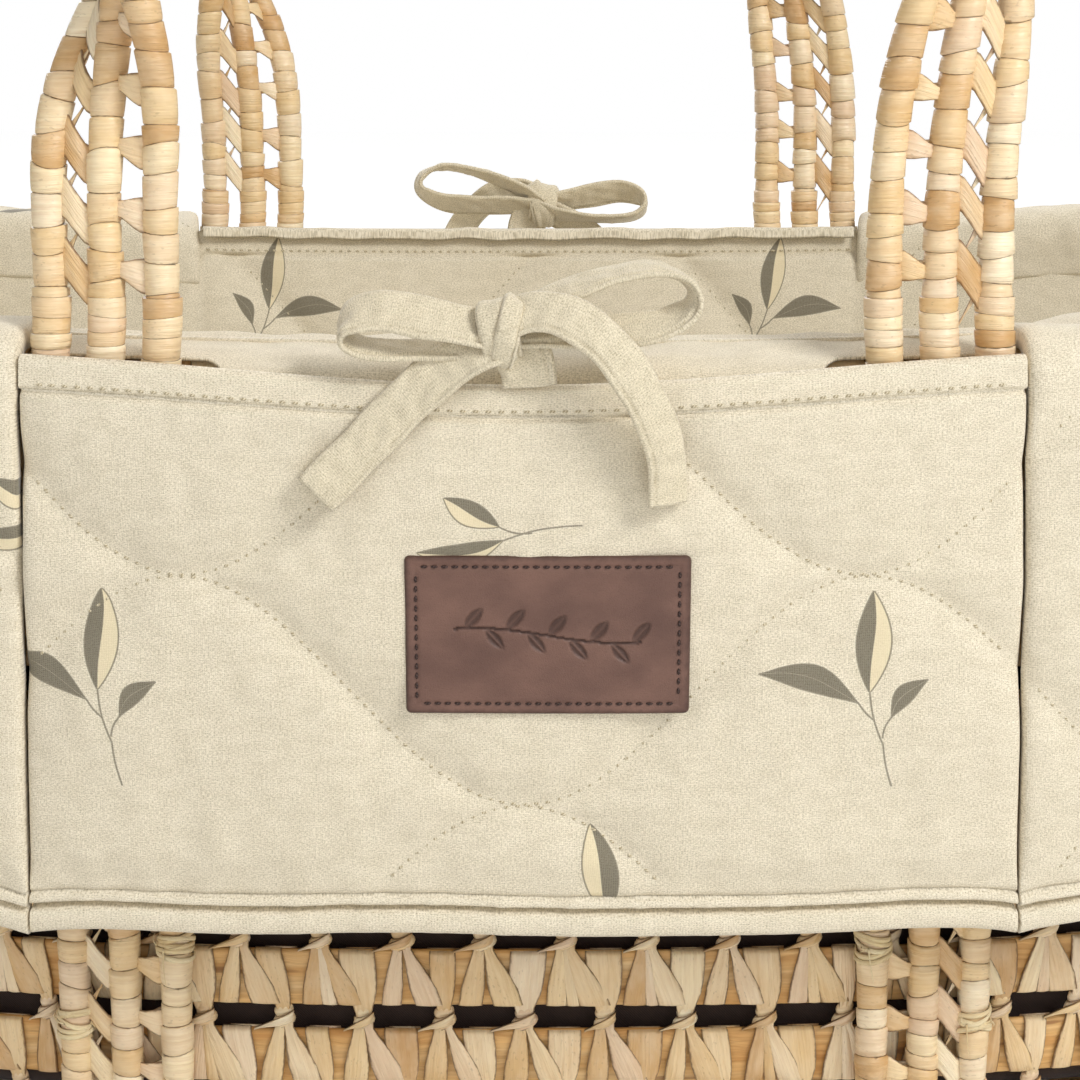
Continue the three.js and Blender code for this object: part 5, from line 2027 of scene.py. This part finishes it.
@dataclass
class Liner:
    """The quilted cloth: the flaps, the skirts over both ends, the liner and the dark backing."""

    liner_offset: float = -18.3
    liner_thickness: float = 5.0
    top_binding: float = 11.0
    backing_offset: float = -10.4
    backing_thickness: float = 1.3

    def build(self) -> None:
        """Makes every cloth."""
        self.flaps()
        self.skirts()
        self.rim_cloth()
        self.wall()
        self.backing()

    def flaps(self) -> None:
        """The front flap and its turned copy at the back."""
        seam = seam_run() - 0.8
        outer = FIT.skirt_offset + FIT.cloth
        section = tuple(
            (outer - FIT.drawn_in(depth), depth) for depth in np.linspace(FIT.cloth_top, FIT.cloth_bottom, 12)
        )
        panel = ClothPanel("front_flap_quilted", section, -seam, seam, 0.0, 0.0, sag=6.2)
        front = panel.build("basket", ("front_flap",), (0.290, 0.195))
        back = turned_round(front, "back_flap_quilted")
        place(back, "basket", "quilt", "back_flap")

    def skirts(self) -> None:
        """The skirt over the head end and its turned copy at the foot."""
        start = seam_run()
        end = float(WALL.run_of(WALL.turn_at(FIT.seam_x, WALL.side_height)))
        outer = FIT.skirt_offset + FIT.cloth + 0.9
        over = ((-21.8, 20.0), (-21.8, 10.0), (-21.6, 1.0), (-18.5, -4.8), (-10.0, -6.6), (2.0, -6.6))
        shoulder = ((11.0, -6.0), (17.0, -2.4), (outer - 0.4, 3.5), (outer, 9.0))
        hanging = tuple(
            (outer - FIT.drawn_in(depth), depth) for depth in np.linspace(16, FIT.cloth_bottom, 11)
        )
        section = over + shoulder + hanging
        panel = ClothPanel("head_skirt_quilted", section, start, end, 0.0, 0.0, binding=0.0, step=3.0)
        length = panel.bottom
        panel = replace(panel, zero=length - (FIT.cloth_bottom - FIT.cloth_top))
        size = ((end - start) * 1.02 * MM, (length + 8) * MM)
        head = panel.build("basket", ("head_skirt",), size)
        foot = turned_round(head, "foot_skirt_quilted")
        place(foot, "basket", "quilt", "foot_skirt")

    def liner_top(self, turn: np.ndarray) -> np.ndarray:
        """The height of the liner's upper edge, which stands higher between the seams."""
        side = np.abs(np.cos(turn)) < math.cos(WALL.turn_at(FIT.seam_x, WALL.side_height))
        return WALL.rim_top(turn) + np.where(side, FIT.flap_rise, 0.8)

    def on_liner(self, run: np.ndarray, down: np.ndarray, lift: np.ndarray) -> np.ndarray:
        """Points in front of the liner's inner face, down being from its upper edge."""
        turn = WALL.turn_of(run)
        binding = self.top_binding
        quilt = QUILTING.relief(run, down) - 1.2
        band = 0.5 * np.sqrt(np.clip(1 - (2 * down / binding - 1) ** 4, 0, 1))
        height = np.where(down < binding, band, quilt)
        height = height - 1.5 * np.exp(-(((down - binding - 0.4) / 0.8) ** 2))
        seam = seam_run()
        for place_run in (seam, -seam, WALL.perimeter / 2 - seam, WALL.perimeter / 2 + seam):
            apart = np.abs(np.mod(run - place_run + WALL.perimeter / 2, WALL.perimeter) - WALL.perimeter / 2)
            height = height - 1.8 * np.exp(-((apart / 1.6) ** 2)) - 0.8 * np.exp(-apart / 6)
        near = np.clip(1 - down / 2.0, 0, 1)
        height = height - 2.0 * (1 - np.sqrt(1 - near**2)) + lift
        height = height * ease(down, -0.5, 1.5) + 0.0 * run
        return WALL.point(turn, self.liner_top(turn) - down, self.liner_offset - height)

    def rim_cloth(self) -> None:
        """The cloth turned over the rim behind the front flap, and its copy at the back."""
        draft = Draft()
        reach = seam_run() - 1.5
        runs = np.linspace(-reach, reach, 150)
        section = (
            (-22.6, 1.0), (-21.5, 4.6), (-15.0, 3.8), (-8.0, 2.6),
            (-1.0, 1.6), (2.8, 0.2), (8.0, -3.0), (12.0, -9.0),
        )
        across = smooth_path(section, 40)
        share = (across[:, 0] - across[0, 0]) / (across[-1, 0] - across[0, 0])
        reach_out = mixed(12.0, 2.8, ease(np.abs(runs), 80, 92))
        u = np.broadcast_to(runs[:, None], (len(runs), len(share)))
        offset = across[0, 0] + (reach_out[:, None] - across[0, 0]) * share
        lift = np.interp(offset, across[:, 0], across[:, 1]) + 0.4 * ripples(u / 30, offset / 20, SEED + 9)
        turn = WALL.turn_of(u)
        top = WALL.rim_top(turn)
        outer = WALL.point(turn, top, offset)
        outer[..., 2] = top + lift
        inner = outer - np.array([0.0, 0.0, 0.9])
        draft.shell(outer, inner, np.stack([u, offset], axis=-1))
        front = draft.piece("front_rim_cloth", [PLAIN_JERSEY])
        for piece in (front, turned_round(front, "back_rim_cloth")):
            place(piece, "basket", "quilt")

    def wall(self) -> bpy.types.Object:
        """The quilted liner wall, reaching down to the underside of the liner floor."""
        draft = Draft()
        runs = np.linspace(0, WALL.perimeter, 620)
        share = np.unique(np.concatenate([np.linspace(0, 1, 130), np.linspace(0, 0.06, 24)]))
        turn = WALL.turn_of(runs)
        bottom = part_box("liner_floor")[0].z / MM + 0.1
        height = (self.liner_top(turn) - bottom)[:, None]
        u, v = np.broadcast_arrays(runs[:, None], share * height)
        inner = self.on_liner(u, v, np.zeros(u.shape))
        turns = np.broadcast_to(turn[:, None], u.shape)
        behind = np.full(u.shape, self.liner_offset + self.liner_thickness)
        outer = WALL.point(turns, self.liner_top(turns) - v, behind)
        layout = np.stack([u, 40 - v], axis=-1)
        draft.shell(inner, outer, layout, lining=1, ring=True)
        before = len(draft.slots)
        fine = np.linspace(0, WALL.perimeter, 5200)
        for number in QUILTING.lines:
            down = QUILTING.line(fine, number)
            inside = (down > self.top_binding + 3) & (down < 215)
            for part in np.split(np.arange(len(fine)), np.flatnonzero(np.diff(inside.astype(int))) + 1):
                if inside[part[0]] and len(part) > 12:
                    sew(draft, self.on_liner, fine[part], down[part])
        sew(draft, self.on_liner, fine, np.full_like(fine, self.top_binding - 1.8), pitch=3.6)
        for number in range(before, len(draft.slots)):
            draft.slots[number][:] = 2
        draft.cap_slots[:] = [2] * len(draft.cap_slots)
        piece = draft.piece("liner_wall_quilted", [JERSEY, PLAIN_JERSEY, THREAD])
        place(piece, "basket", "quilt", "liner_wall")
        WALL.perimeter * MM
        return piece

    def backing(self) -> bpy.types.Object:
        """The dark cloth behind the weave, slightly rippled."""
        draft = Draft()
        runs = np.linspace(0, WALL.perimeter, 420)
        turn = WALL.turn_of(runs)[:, None]
        low = WALL.base_thickness + GAP + 0.2
        top = WALL.rim_top(turn) - WALL.rim_diameter - 2 * GAP
        share = np.linspace(0, 1, 40)
        heights = low + share * (top - low)
        wave = 0.22 * ripples(runs[:, None] / 26, heights / 120, SEED + 8)
        turns = np.broadcast_to(turn, heights.shape)
        outer = WALL.point(turns, heights, self.backing_offset + wave)
        inner = WALL.point(turns, heights, self.backing_offset + wave - self.backing_thickness)
        layout = np.stack(np.broadcast_arrays(runs[:, None], heights), axis=-1)
        draft.shell(outer, inner, layout, ring=True)
        piece = draft.piece("backing_cloth_dark", [BACKING])
        place(piece, "basket", "backing", "backing_cloth")
        WALL.perimeter * MM
        return piece


# ---- mattress and liner floor ---------------------------------------------------------------------
@dataclass
class OvalPad:
    """A padded oval that follows the wall, with a sewn pattern on its faces."""

    name: str
    node: str
    body: str
    slot: str
    finish: Finish
    fill: float
    crown: float
    roll: float
    channel: float
    piping: float = 0.0
    turns: int = 260
    rings: int = 74
    bends: int = 15

    def build(self) -> bpy.types.Object:
        """Makes the pad within its CAD solid's place."""
        draft = Draft()
        low, high = (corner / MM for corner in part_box(self.node))
        half_x, half_y = (high.x - low.x) / 2, (high.y - low.y) / 2
        turn = np.linspace(0, TAU, self.turns + 1)
        power = 2 / WALL.oval_power
        plan = np.stack([signed_power(np.cos(turn), power), signed_power(np.sin(turn), power)], axis=-1)
        bend = np.linspace(-math.pi / 2, math.pi / 2, self.bends)
        radial = np.linspace(0, 1, self.rings)
        middle, half = (low.z + high.z) / 2, (high.z - low.z) / 2
        side_in = self.roll * (1 - np.cos(bend))
        side_z = middle + (half - 0.4) * np.sin(bend) * 0.98
        face = np.full(self.rings, -1.0)
        inset = np.concatenate([face, side_in, face])
        share = np.concatenate([radial, np.ones(self.bends), radial[::-1]])
        number = np.arange(len(share))
        upper = number >= self.rings + self.bends
        x = plan[:, :1] * (half_x - self.roll) * share
        y = plan[:, 1:] * (half_y - self.roll) * share
        swell = self.crown * (1 - share**4)
        sewn = self.pattern(x, y) * (1 - share**10)
        z_top = middle + half - 0.4 + np.minimum(swell + sewn, self.crown)
        z_low = middle - half + 0.4 + 0.0 * x
        z = np.where(upper, z_top - self.crown, z_low)
        out = np.where(inset < 0, 0.0, self.roll - np.abs(inset))
        z = np.where(inset >= 0, np.interp(number, self.rings + np.arange(self.bends), side_z), z)
        length = np.maximum(np.hypot(plan[:, :1], plan[:, 1:]), 1e-6)
        away = plan / length
        points = np.stack([x + out * away[:, :1], y + out * away[:, 1:], z + 0.0 * x], axis=-1)
        layout = np.stack([points[..., 0], points[..., 1] + 0.7 * points[..., 2]], axis=-1)
        draft.grid(points, layout)
        if self.piping:
            self.pipe(draft, plan, half_x, half_y, middle, half)
        piece = draft.piece(self.name, [self.finish])
        place(piece, self.body, self.slot, self.node)
        return piece

    def pattern(self, x: np.ndarray, y: np.ndarray) -> np.ndarray:
        """The sewn diamonds: channels that cross, and puffs between them."""
        first = np.abs(np.sin(math.pi * (x + y) / self.channel))
        second = np.abs(np.sin(math.pi * (x - y) / self.channel))
        nearest = np.minimum(first, second) * self.channel / math.pi
        return 1.6 * (1 - np.exp(-((nearest / 6) ** 1.1))) - 1.6 + 0.2 * ripples(x / 40, y / 40, SEED + 21)

    def pipe(
        self, draft: Draft, plan: np.ndarray, half_x: float, half_y: float, middle: float, half: float
    ) -> None:
        """Two rows of piping round the pad's upper and lower borders."""
        around = np.linspace(0, TAU, 9)
        for way in (-1, 1):
            reach = self.piping * np.cos(around) - 0.6 * self.roll
            rise = middle + way * (0.82 * half) + self.piping * np.sin(around)
            x = plan[:, :1] * (half_x + reach)
            y = plan[:, 1:] * (half_y + reach)
            points = np.stack(np.broadcast_arrays(x, y, rise + 0.0 * x), axis=-1)
            layout = np.stack(np.broadcast_arrays(np.arange(len(plan))[:, None] * 7.0, reach), axis=-1)
            draft.grid(points, layout)


# ---- patch ----------------------------------------------------------------------------------------
@dataclass
class LeatherPatch:
    """The sewn leather patch: rolled edges, a row of stitches and a pressed motif of leaves."""

    width: float = 81.5
    height: float = 47.5
    thickness: float = 1.8
    drop: float = 77.5
    shift: float = 7.0
    corner: float = 1.6
    rolled: float = 0.9
    inset: float = 3.2
    leaf_length: float = 8.4
    leaf_width: float = 3.6
    step: float = 0.4

    def build(self) -> bpy.types.Object:
        """Makes the patch and its thread."""
        draft = Draft()
        across = np.linspace(-self.width / 2, self.width / 2, int(self.width / self.step) + 1)
        down = np.linspace(-self.height / 2, self.height / 2, int(self.height / self.step) + 1)
        u, v = np.meshgrid(across, down, indexing="ij")
        flat_u, flat_v, near = self.cornered(u, v)
        pressed = self.motif(u, v)
        groove = np.exp(-(((near - self.inset) / 0.7) ** 2))
        roll = self.rolled * (1 - np.sqrt(1 - np.clip(1 - near / self.rolled, 0, 1) ** 2))
        lift = self.thickness - 0.25 * groove - roll - 0.75 * pressed
        outer = self.surface(flat_u, flat_v, lift)
        inner = self.surface(flat_u, flat_v, 0.35 * roll)
        layout = np.stack([u, v], axis=-1)
        front = draft.grid(outer, layout, 0.75 * pressed, np.clip(1 - near / 2.4, 0, 1))
        back = draft.grid(inner[::-1], layout[::-1])[::-1]
        rims = [(front[:, 0], back[:, 0]), (back[:, -1], front[:, -1])]
        rims += [(back[0], front[0]), (front[-1], back[-1])]
        for one, other in rims:
            draft.faces(np.stack([one, other], axis=0), 0)
        before = len(draft.slots)
        a, b = self.width / 2 - self.inset, self.height / 2 - self.inset
        corners = [(-a, -b), (a, -b), (a, b), (-a, b), (-a, -b)]
        for (x0, y0), (x1, y1) in zip(corners, corners[1:]):
            share = np.linspace(0, 1, 200)
            sew(
                draft, lambda x, y, z: self.surface(x, y, z + self.thickness), mixed(x0, x1, share),
                mixed(y0, y1, share), pitch=2.9, share=0.7, sink=0.5, thick=0.42,
            )
        for number in range(before, len(draft.slots)):
            draft.slots[number][:] = 1
        draft.cap_slots[:] = [1] * len(draft.cap_slots)
        piece = draft.piece("leather_patch_sewn", [LEATHER, DARK_THREAD])
        return place(piece, "basket", "hide", "leather_patch")

    def cornered(self, u: np.ndarray, v: np.ndarray) -> tuple[np.ndarray, np.ndarray, np.ndarray]:
        """Draws the corners in, and measures each place from the border."""
        a, b = self.width / 2 - self.corner, self.height / 2 - self.corner
        over_u, over_v = np.maximum(np.abs(u) - a, 0), np.maximum(np.abs(v) - b, 0)
        reach = np.hypot(over_u, over_v)
        square = np.maximum(np.maximum(over_u, over_v), 1e-9)
        pull = np.where(reach > 0, square / np.maximum(reach, 1e-9), 1.0)
        new_u = np.sign(u) * (np.minimum(np.abs(u), a) + over_u * pull)
        new_v = np.sign(v) * (np.minimum(np.abs(v), b) + over_v * pull)
        near = np.minimum(self.width / 2 - np.abs(u), self.height / 2 - np.abs(v))
        return new_u, new_v, np.maximum(near, 0)

    def surface(self, across: np.ndarray, down: np.ndarray, lift: np.ndarray) -> np.ndarray:
        """Points above the patch's back, which lies on the flap."""
        outer = FIT.skirt_offset + FIT.cloth
        depth = self.drop + down
        turn = WALL.turn_of(self.shift + across)
        sway = 0.35 * np.sin((across + 10) / 26) + 0.25 * np.sin((down + across * 0.3) / 17)
        points = WALL.point(turn, WALL.rim_top(turn), outer + 2.0 - FIT.drawn_in(depth) + sway + lift)
        points[..., 2] = WALL.rim_top(turn) - depth
        return points

    def motif(self, u: np.ndarray, v: np.ndarray) -> np.ndarray:
        """Where the leather is pressed: a stem with paired leaves."""
        pressed = np.zeros_like(u)
        stem = 2.2 * np.sin(u / 13.0)
        line = (np.abs(u) < 27) & (np.abs(v - stem) < 0.42)
        pressed = np.maximum(pressed, line.astype(float))
        for number, x in enumerate(np.arange(-24, 25, 6.0)):
            way = 1 if number % 2 else -1
            tilt = way * 0.85
            base_v = 2.2 * math.sin(x / 13.0)
            du, dv = u - x, v - base_v
            along = du * math.cos(tilt) + dv * math.sin(tilt)
            aside = dv * math.cos(tilt) - du * math.sin(tilt)
            share = np.clip(along / self.leaf_length, 0, 1)
            half = 0.5 * self.leaf_width * np.sin(math.pi * share) ** 0.8
            inside = ease(half - np.abs(aside), -0.1, 0.5) * (share > 0) * (share < 1)
            vein = 1 - 0.6 * np.exp(-((aside / 0.35) ** 2))
            pressed = np.maximum(pressed, inside * vein)
        return pressed


# ---- bows -----------------------------------------------------------------------------------------
Place6 = tuple[float, float, float, float, float, float]


@dataclass
class Bow:
    """A tied bow of flat jersey ribbon at the top of a flap.

    Each ribbon is a row of places: X from the middle of the flap, forward of its face and height above
    its upper edge, then the direction of the ribbon's width in the same axes.
    """

    ribbon_width: float = 14.0
    ribbon_thickness: float = 2.3
    seam_place: float = 0.72
    seam_depth: float = 1.0

    LEFT_LOOP = (
        (-5, 3.5, 7.5, 0.0, 0.75, -0.66), (-14, 4.5, 9.5, -0.1, 0.7, -0.7),
        (-27, 4.5, 12.0, -0.1, 0.62, -0.78),
        (-40, 3.5, 14.0, -0.15, 0.62, -0.78), (-49, 2.0, 11.5, 0.0, 0.8, -0.6),
        (-50.5, 0.5, 6.5, 0.0, 0.9, -0.43),
        (-44, 0.0, 2.8, 0.0, 0.95, -0.3), (-28, -0.5, 2.4, 0.0, 0.95, -0.3),
        (-14, 0.0, 4.0, 0.0, 0.9, -0.43),
        (-5, 2.0, 6.0, 0.0, 0.8, -0.6),
    )
    RIGHT_LOOP = (
        (-5, 1.5, 8.5, 0.0, 0.8, -0.6), (3, 0.5, 14.5, 0.1, 0.85, -0.5),
        (14, -1.0, 19.5, 0.1, 0.9, -0.42),
        (26, -2.0, 23.5, 0.0, 0.95, -0.3), (38, -2.0, 25.0, 0.0, 0.97, -0.2),
        (47, -1.0, 21.0, 0.1, 0.97, 0.1),
        (47, 0.5, 14.5, 0.3, 0.9, -0.3), (38, 1.5, 9.5, 0.1, 0.75, -0.65), (24, 2.0, 8.0, 0.0, 0.7, -0.7),
        (8, 2.0, 8.0, 0.0, 0.75, -0.66), (-5, 2.0, 7.0, 0.0, 0.8, -0.6),
    )
    LEFT_TAIL = (
        (-5, 5.0, 6.0, 0.0, 0.6, -0.8), (-13, 5.5, 3.0, 0.3, 0.55, -0.78),
        (-22, 4.6, -2.5, 0.5, 0.3, -0.8),
        (-33, 3.8, -12.0, 0.7, 0.12, -0.7), (-45, 3.4, -24.5, 0.75, 0.05, -0.66),
        (-59, 4.2, -38.5, 0.78, 0.0, -0.62),
    )
    RIGHT_TAIL = (
        (-6, 6.0, 10.5, -0.1, 0.5, -0.86), (3, 8.5, 14.2, -0.3, 0.45, -0.84),
        (14, 11.5, 12.5, -0.55, 0.35, -0.76),
        (25.5, 12.8, 3.5, -0.78, 0.3, -0.55), (34, 12.0, -9.5, -0.85, 0.36, -0.38),
        (39.5, 8.5, -22.5, -0.86, 0.46, -0.2),
        (41.0, 5.4, -33.0, -0.86, 0.5, 0.0), (41.2, 4.6, -41.0, -0.86, 0.5, 0.1),
    )
    STEM = (
        (-3, 2.0, 8.0, 1.0, 0.0, 0.2), (-1, 3.2, 3.5, 1.0, 0.0, 0.1), (1.4, 3.6, -2.0, 1.0, 0.0, 0.0),
        (2.0, 2.0, -7.5, 1.0, 0.0, 0.0),
    )

    def place_at(self, places: np.ndarray) -> np.ndarray:
        """Points from places beside, forward of and above the flap's upper edge at its middle."""
        outer = FIT.skirt_offset + FIT.cloth
        front = WALL.point(np.array(-math.pi / 2), np.array(WALL.side_height), np.array(outer))[1]
        height = FIT.flap_top - 0.8 + places[..., 2]
        return np.stack([places[..., 0], front - places[..., 1], height], axis=-1)

    def ribbon(
        self, draft: Draft, route: Sequence[Place6], width: float, count: int, swell: float = 0.0
    ) -> None:
        """Adds a flat ribbon along a route.

        Args:
            draft: takes the mesh.
            route: the ribbon's places and width directions.
            width: its full width.
            count: how many sections it has.
            swell: how much thicker it is than a flat ribbon.
        """
        smooth = smooth_path(route, count)
        centre = self.place_at(smooth[:, :3])
        across = smooth[:, 3:] * np.array([1, -1, 1])
        tangent = np.gradient(centre, axis=0)
        tangent /= np.linalg.norm(tangent, axis=-1, keepdims=True)
        across -= tangent * (across * tangent).sum(-1, keepdims=True)
        across /= np.linalg.norm(across, axis=-1, keepdims=True)
        facing = np.cross(tangent, across)
        face = np.linspace(-1, 1, 25)
        full = (self.ribbon_thickness + swell) / 2
        profile = full * np.sqrt(np.clip(1 - np.abs(face) ** 5, 0, 1))
        groove = self.seam_depth * np.exp(-(((face - self.seam_place) / 0.055) ** 2))
        front = profile - groove
        back = -(profile - groove)[::-1]
        aside = np.concatenate([face, face[::-1][1:-1], face[:1]]) * width / 2
        lift = np.concatenate([front, back[1:-1], front[:1]])
        steps = np.concatenate([[0], np.cumsum(np.linalg.norm(np.diff(centre, axis=0), axis=-1))])
        lane = 0.25 * ripples(steps[:, None] / 9, aside[None, :] / 9, SEED + 31)
        lane = lane * (np.abs(aside) < width * 0.4)
        gather = 1 + 0.03 * np.sin(steps / 3.1)[:, None]
        points = (
            centre[:, None]
            + across[:, None] * (aside * gather)[..., None]
            + facing[:, None] * (lift[None, :] + lane)[..., None]
        )
        layout = np.stack(np.broadcast_arrays(aside[None, :] * 1.0, steps[:, None]), axis=-1)
        draft.tubes(points[None], layout[None])

    def knot(self, draft: Draft) -> None:
        """The band of ribbon that holds the bow together."""
        turn = np.linspace(0, TAU * 1.04, 13)
        bands = ((-6.5, 0.32, 3.4, 11.5, 0.0), (-4.0, -0.5, 4.4, 7.0, 0.9))
        for centre_x, slant, forward, width, grow in bands:
            route = [
                (
                    centre_x - slant * 4 * math.sin(angle),
                    forward - (5.2 + grow) * math.cos(angle + math.pi),
                    8.2 + (7.6 + grow) * math.sin(angle), 1.0, 0.0, slant * 0.9,
                )
                for angle in turn
            ]
            self.ribbon(draft, route, width, 60, swell=0.8)

    def build(self) -> bpy.types.Object:
        """Makes the front bow and its turned copy at the back."""
        draft = Draft()
        self.ribbon(draft, self.LEFT_LOOP, self.ribbon_width, 90)
        self.ribbon(draft, self.RIGHT_LOOP, self.ribbon_width * 0.9, 100)
        self.ribbon(draft, self.LEFT_TAIL, self.ribbon_width, 70)
        self.ribbon(draft, self.RIGHT_TAIL, self.ribbon_width * 0.92, 80)
        self.ribbon(draft, self.STEM, self.ribbon_width * 1.15, 30)
        self.knot(draft)
        front = draft.piece("front_bow_tied", [RIBBON])
        place(front, "basket", "ribbon", "front_bow")
        back = turned_round(front, "back_bow_tied")
        place(back, "basket", "ribbon", "back_bow")
        return front


# ---- studio ---------------------------------------------------------------------------------------
@dataclass
class Studio:
    """The pale floor, the soft lights and the camera."""

    camera_place: tuple[float, float, float] = (4.9, -997.0, 365.0)
    lens: float = 92.0
    sensor: float = 36.0
    pitch: float = 11.4
    floor_size: float = 12.0
    ambient: float = 0.24
    lights: tuple[tuple[str, tuple[float, float, float], float, float], ...] = (
        ("key_light", (1.6, -1.6, 1.9), 0.9, 53.0),
        ("fill_light", (-1.8, -1.8, 1.2), 2.0, 10.0),
        ("low_light", (0.4, -2.6, 0.45), 1.6, 13.0),
        ("top_light", (0.0, 0.3, 2.8), 2.0, 15.0),
        ("back_light", (-0.6, 2.2, 1.7), 1.8, 44.0),
    )

    def build(self) -> None:
        """Makes all of it."""
        self.floor()
        for name, where, size, power in self.lights:
            self.light(name, where, size, power)
        self.world()
        self.camera()
        bpy.context.scene.view_settings.view_transform = "Standard"

    def floor(self) -> None:
        """A large plane under the basket."""
        mesh = bpy.data.meshes.new("floor")
        half = self.floor_size / 2
        corners = [(-half, -half, 0), (half, -half, 0), (half, half, 0), (-half, half, 0)]
        mesh.from_pydata(corners, [], [(0, 1, 2, 3)])
        mesh.materials.append(FloorFinish("pale floor").material())
        floor = bpy.data.objects.new("floor", mesh)
        bpy.context.scene.collection.objects.link(floor)

    def light(self, name: str, where: tuple[float, float, float], size: float, power: float) -> None:
        """A square soft light aimed at the basket."""
        lamp = bpy.data.lights.new(name, "AREA")
        lamp.energy = power
        lamp.size = size
        holder = bpy.data.objects.new(name, lamp)
        holder.location = where
        holder.rotation_euler = (Vector((0, 0, 0.2)) - Vector(where)).to_track_quat("-Z", "Y").to_euler()
        bpy.context.scene.collection.objects.link(holder)

    def world(self) -> None:
        """A plain surround that looks white and lights softly."""
        world = bpy.data.worlds.new("studio")
        world.use_nodes = True
        nodes = Nodes(world.node_tree)
        soft = world.node_tree.nodes["Background"]
        soft.inputs["Color"].default_value = (1.0, 1.0, 1.0, 1.0)
        soft.inputs["Strength"].default_value = self.ambient
        white = nodes.add("Background", {"Color": (1.0, 1.0, 1.0, 1.0), "Strength": 1.0})
        seen = nodes.add("LightPath").outputs["Is Camera Ray"]
        both = nodes.add("MixShader", {0: seen, 1: soft.outputs[0], 2: white.outputs[0]})
        nodes.feed(world.node_tree.nodes["World Output"].inputs["Surface"], both.outputs[0])
        bpy.context.scene.world = world

    def camera(self) -> None:
        """The camera, in front of the basket and a little above it."""
        data = bpy.data.cameras.new("camera")
        data.lens = self.lens
        data.sensor_width = self.sensor
        data.clip_end = 60
        camera = bpy.data.objects.new("camera", data)
        camera.location = Vector(self.camera_place) * MM
        camera.rotation_euler = (math.radians(90 - self.pitch), 0, 0)
        bpy.context.scene.collection.objects.link(camera)
        bpy.context.scene.camera = camera


# ---- the whole basket -----------------------------------------------------------------------------
def main() -> None:
    """Builds the scene in order."""
    logging.basicConfig(level=logging.INFO, format="%(name)s %(message)s")
    Studio().build()
    WovenWall().build()
    for side in Side:
        for end in End:
            WallStrap(side, end).build()
        Handle(side).build()
    Liner().build()
    OvalPad(
        "liner_floor_quilted", "liner_floor", "basket", "quilt", PLAIN_JERSEY,
        fill=0.5, crown=0.4, roll=1.5, channel=90.0,
    ).build()
    OvalPad(
        "mattress_quilted", "mattress", "mattress", "ticking", TICKING,
        fill=0.85, crown=2.6, roll=8.0, channel=62.0, piping=1.8,
    ).build()
    LeatherPatch().build()
    Bow().build()


if __name__ == "__main__":
    main()
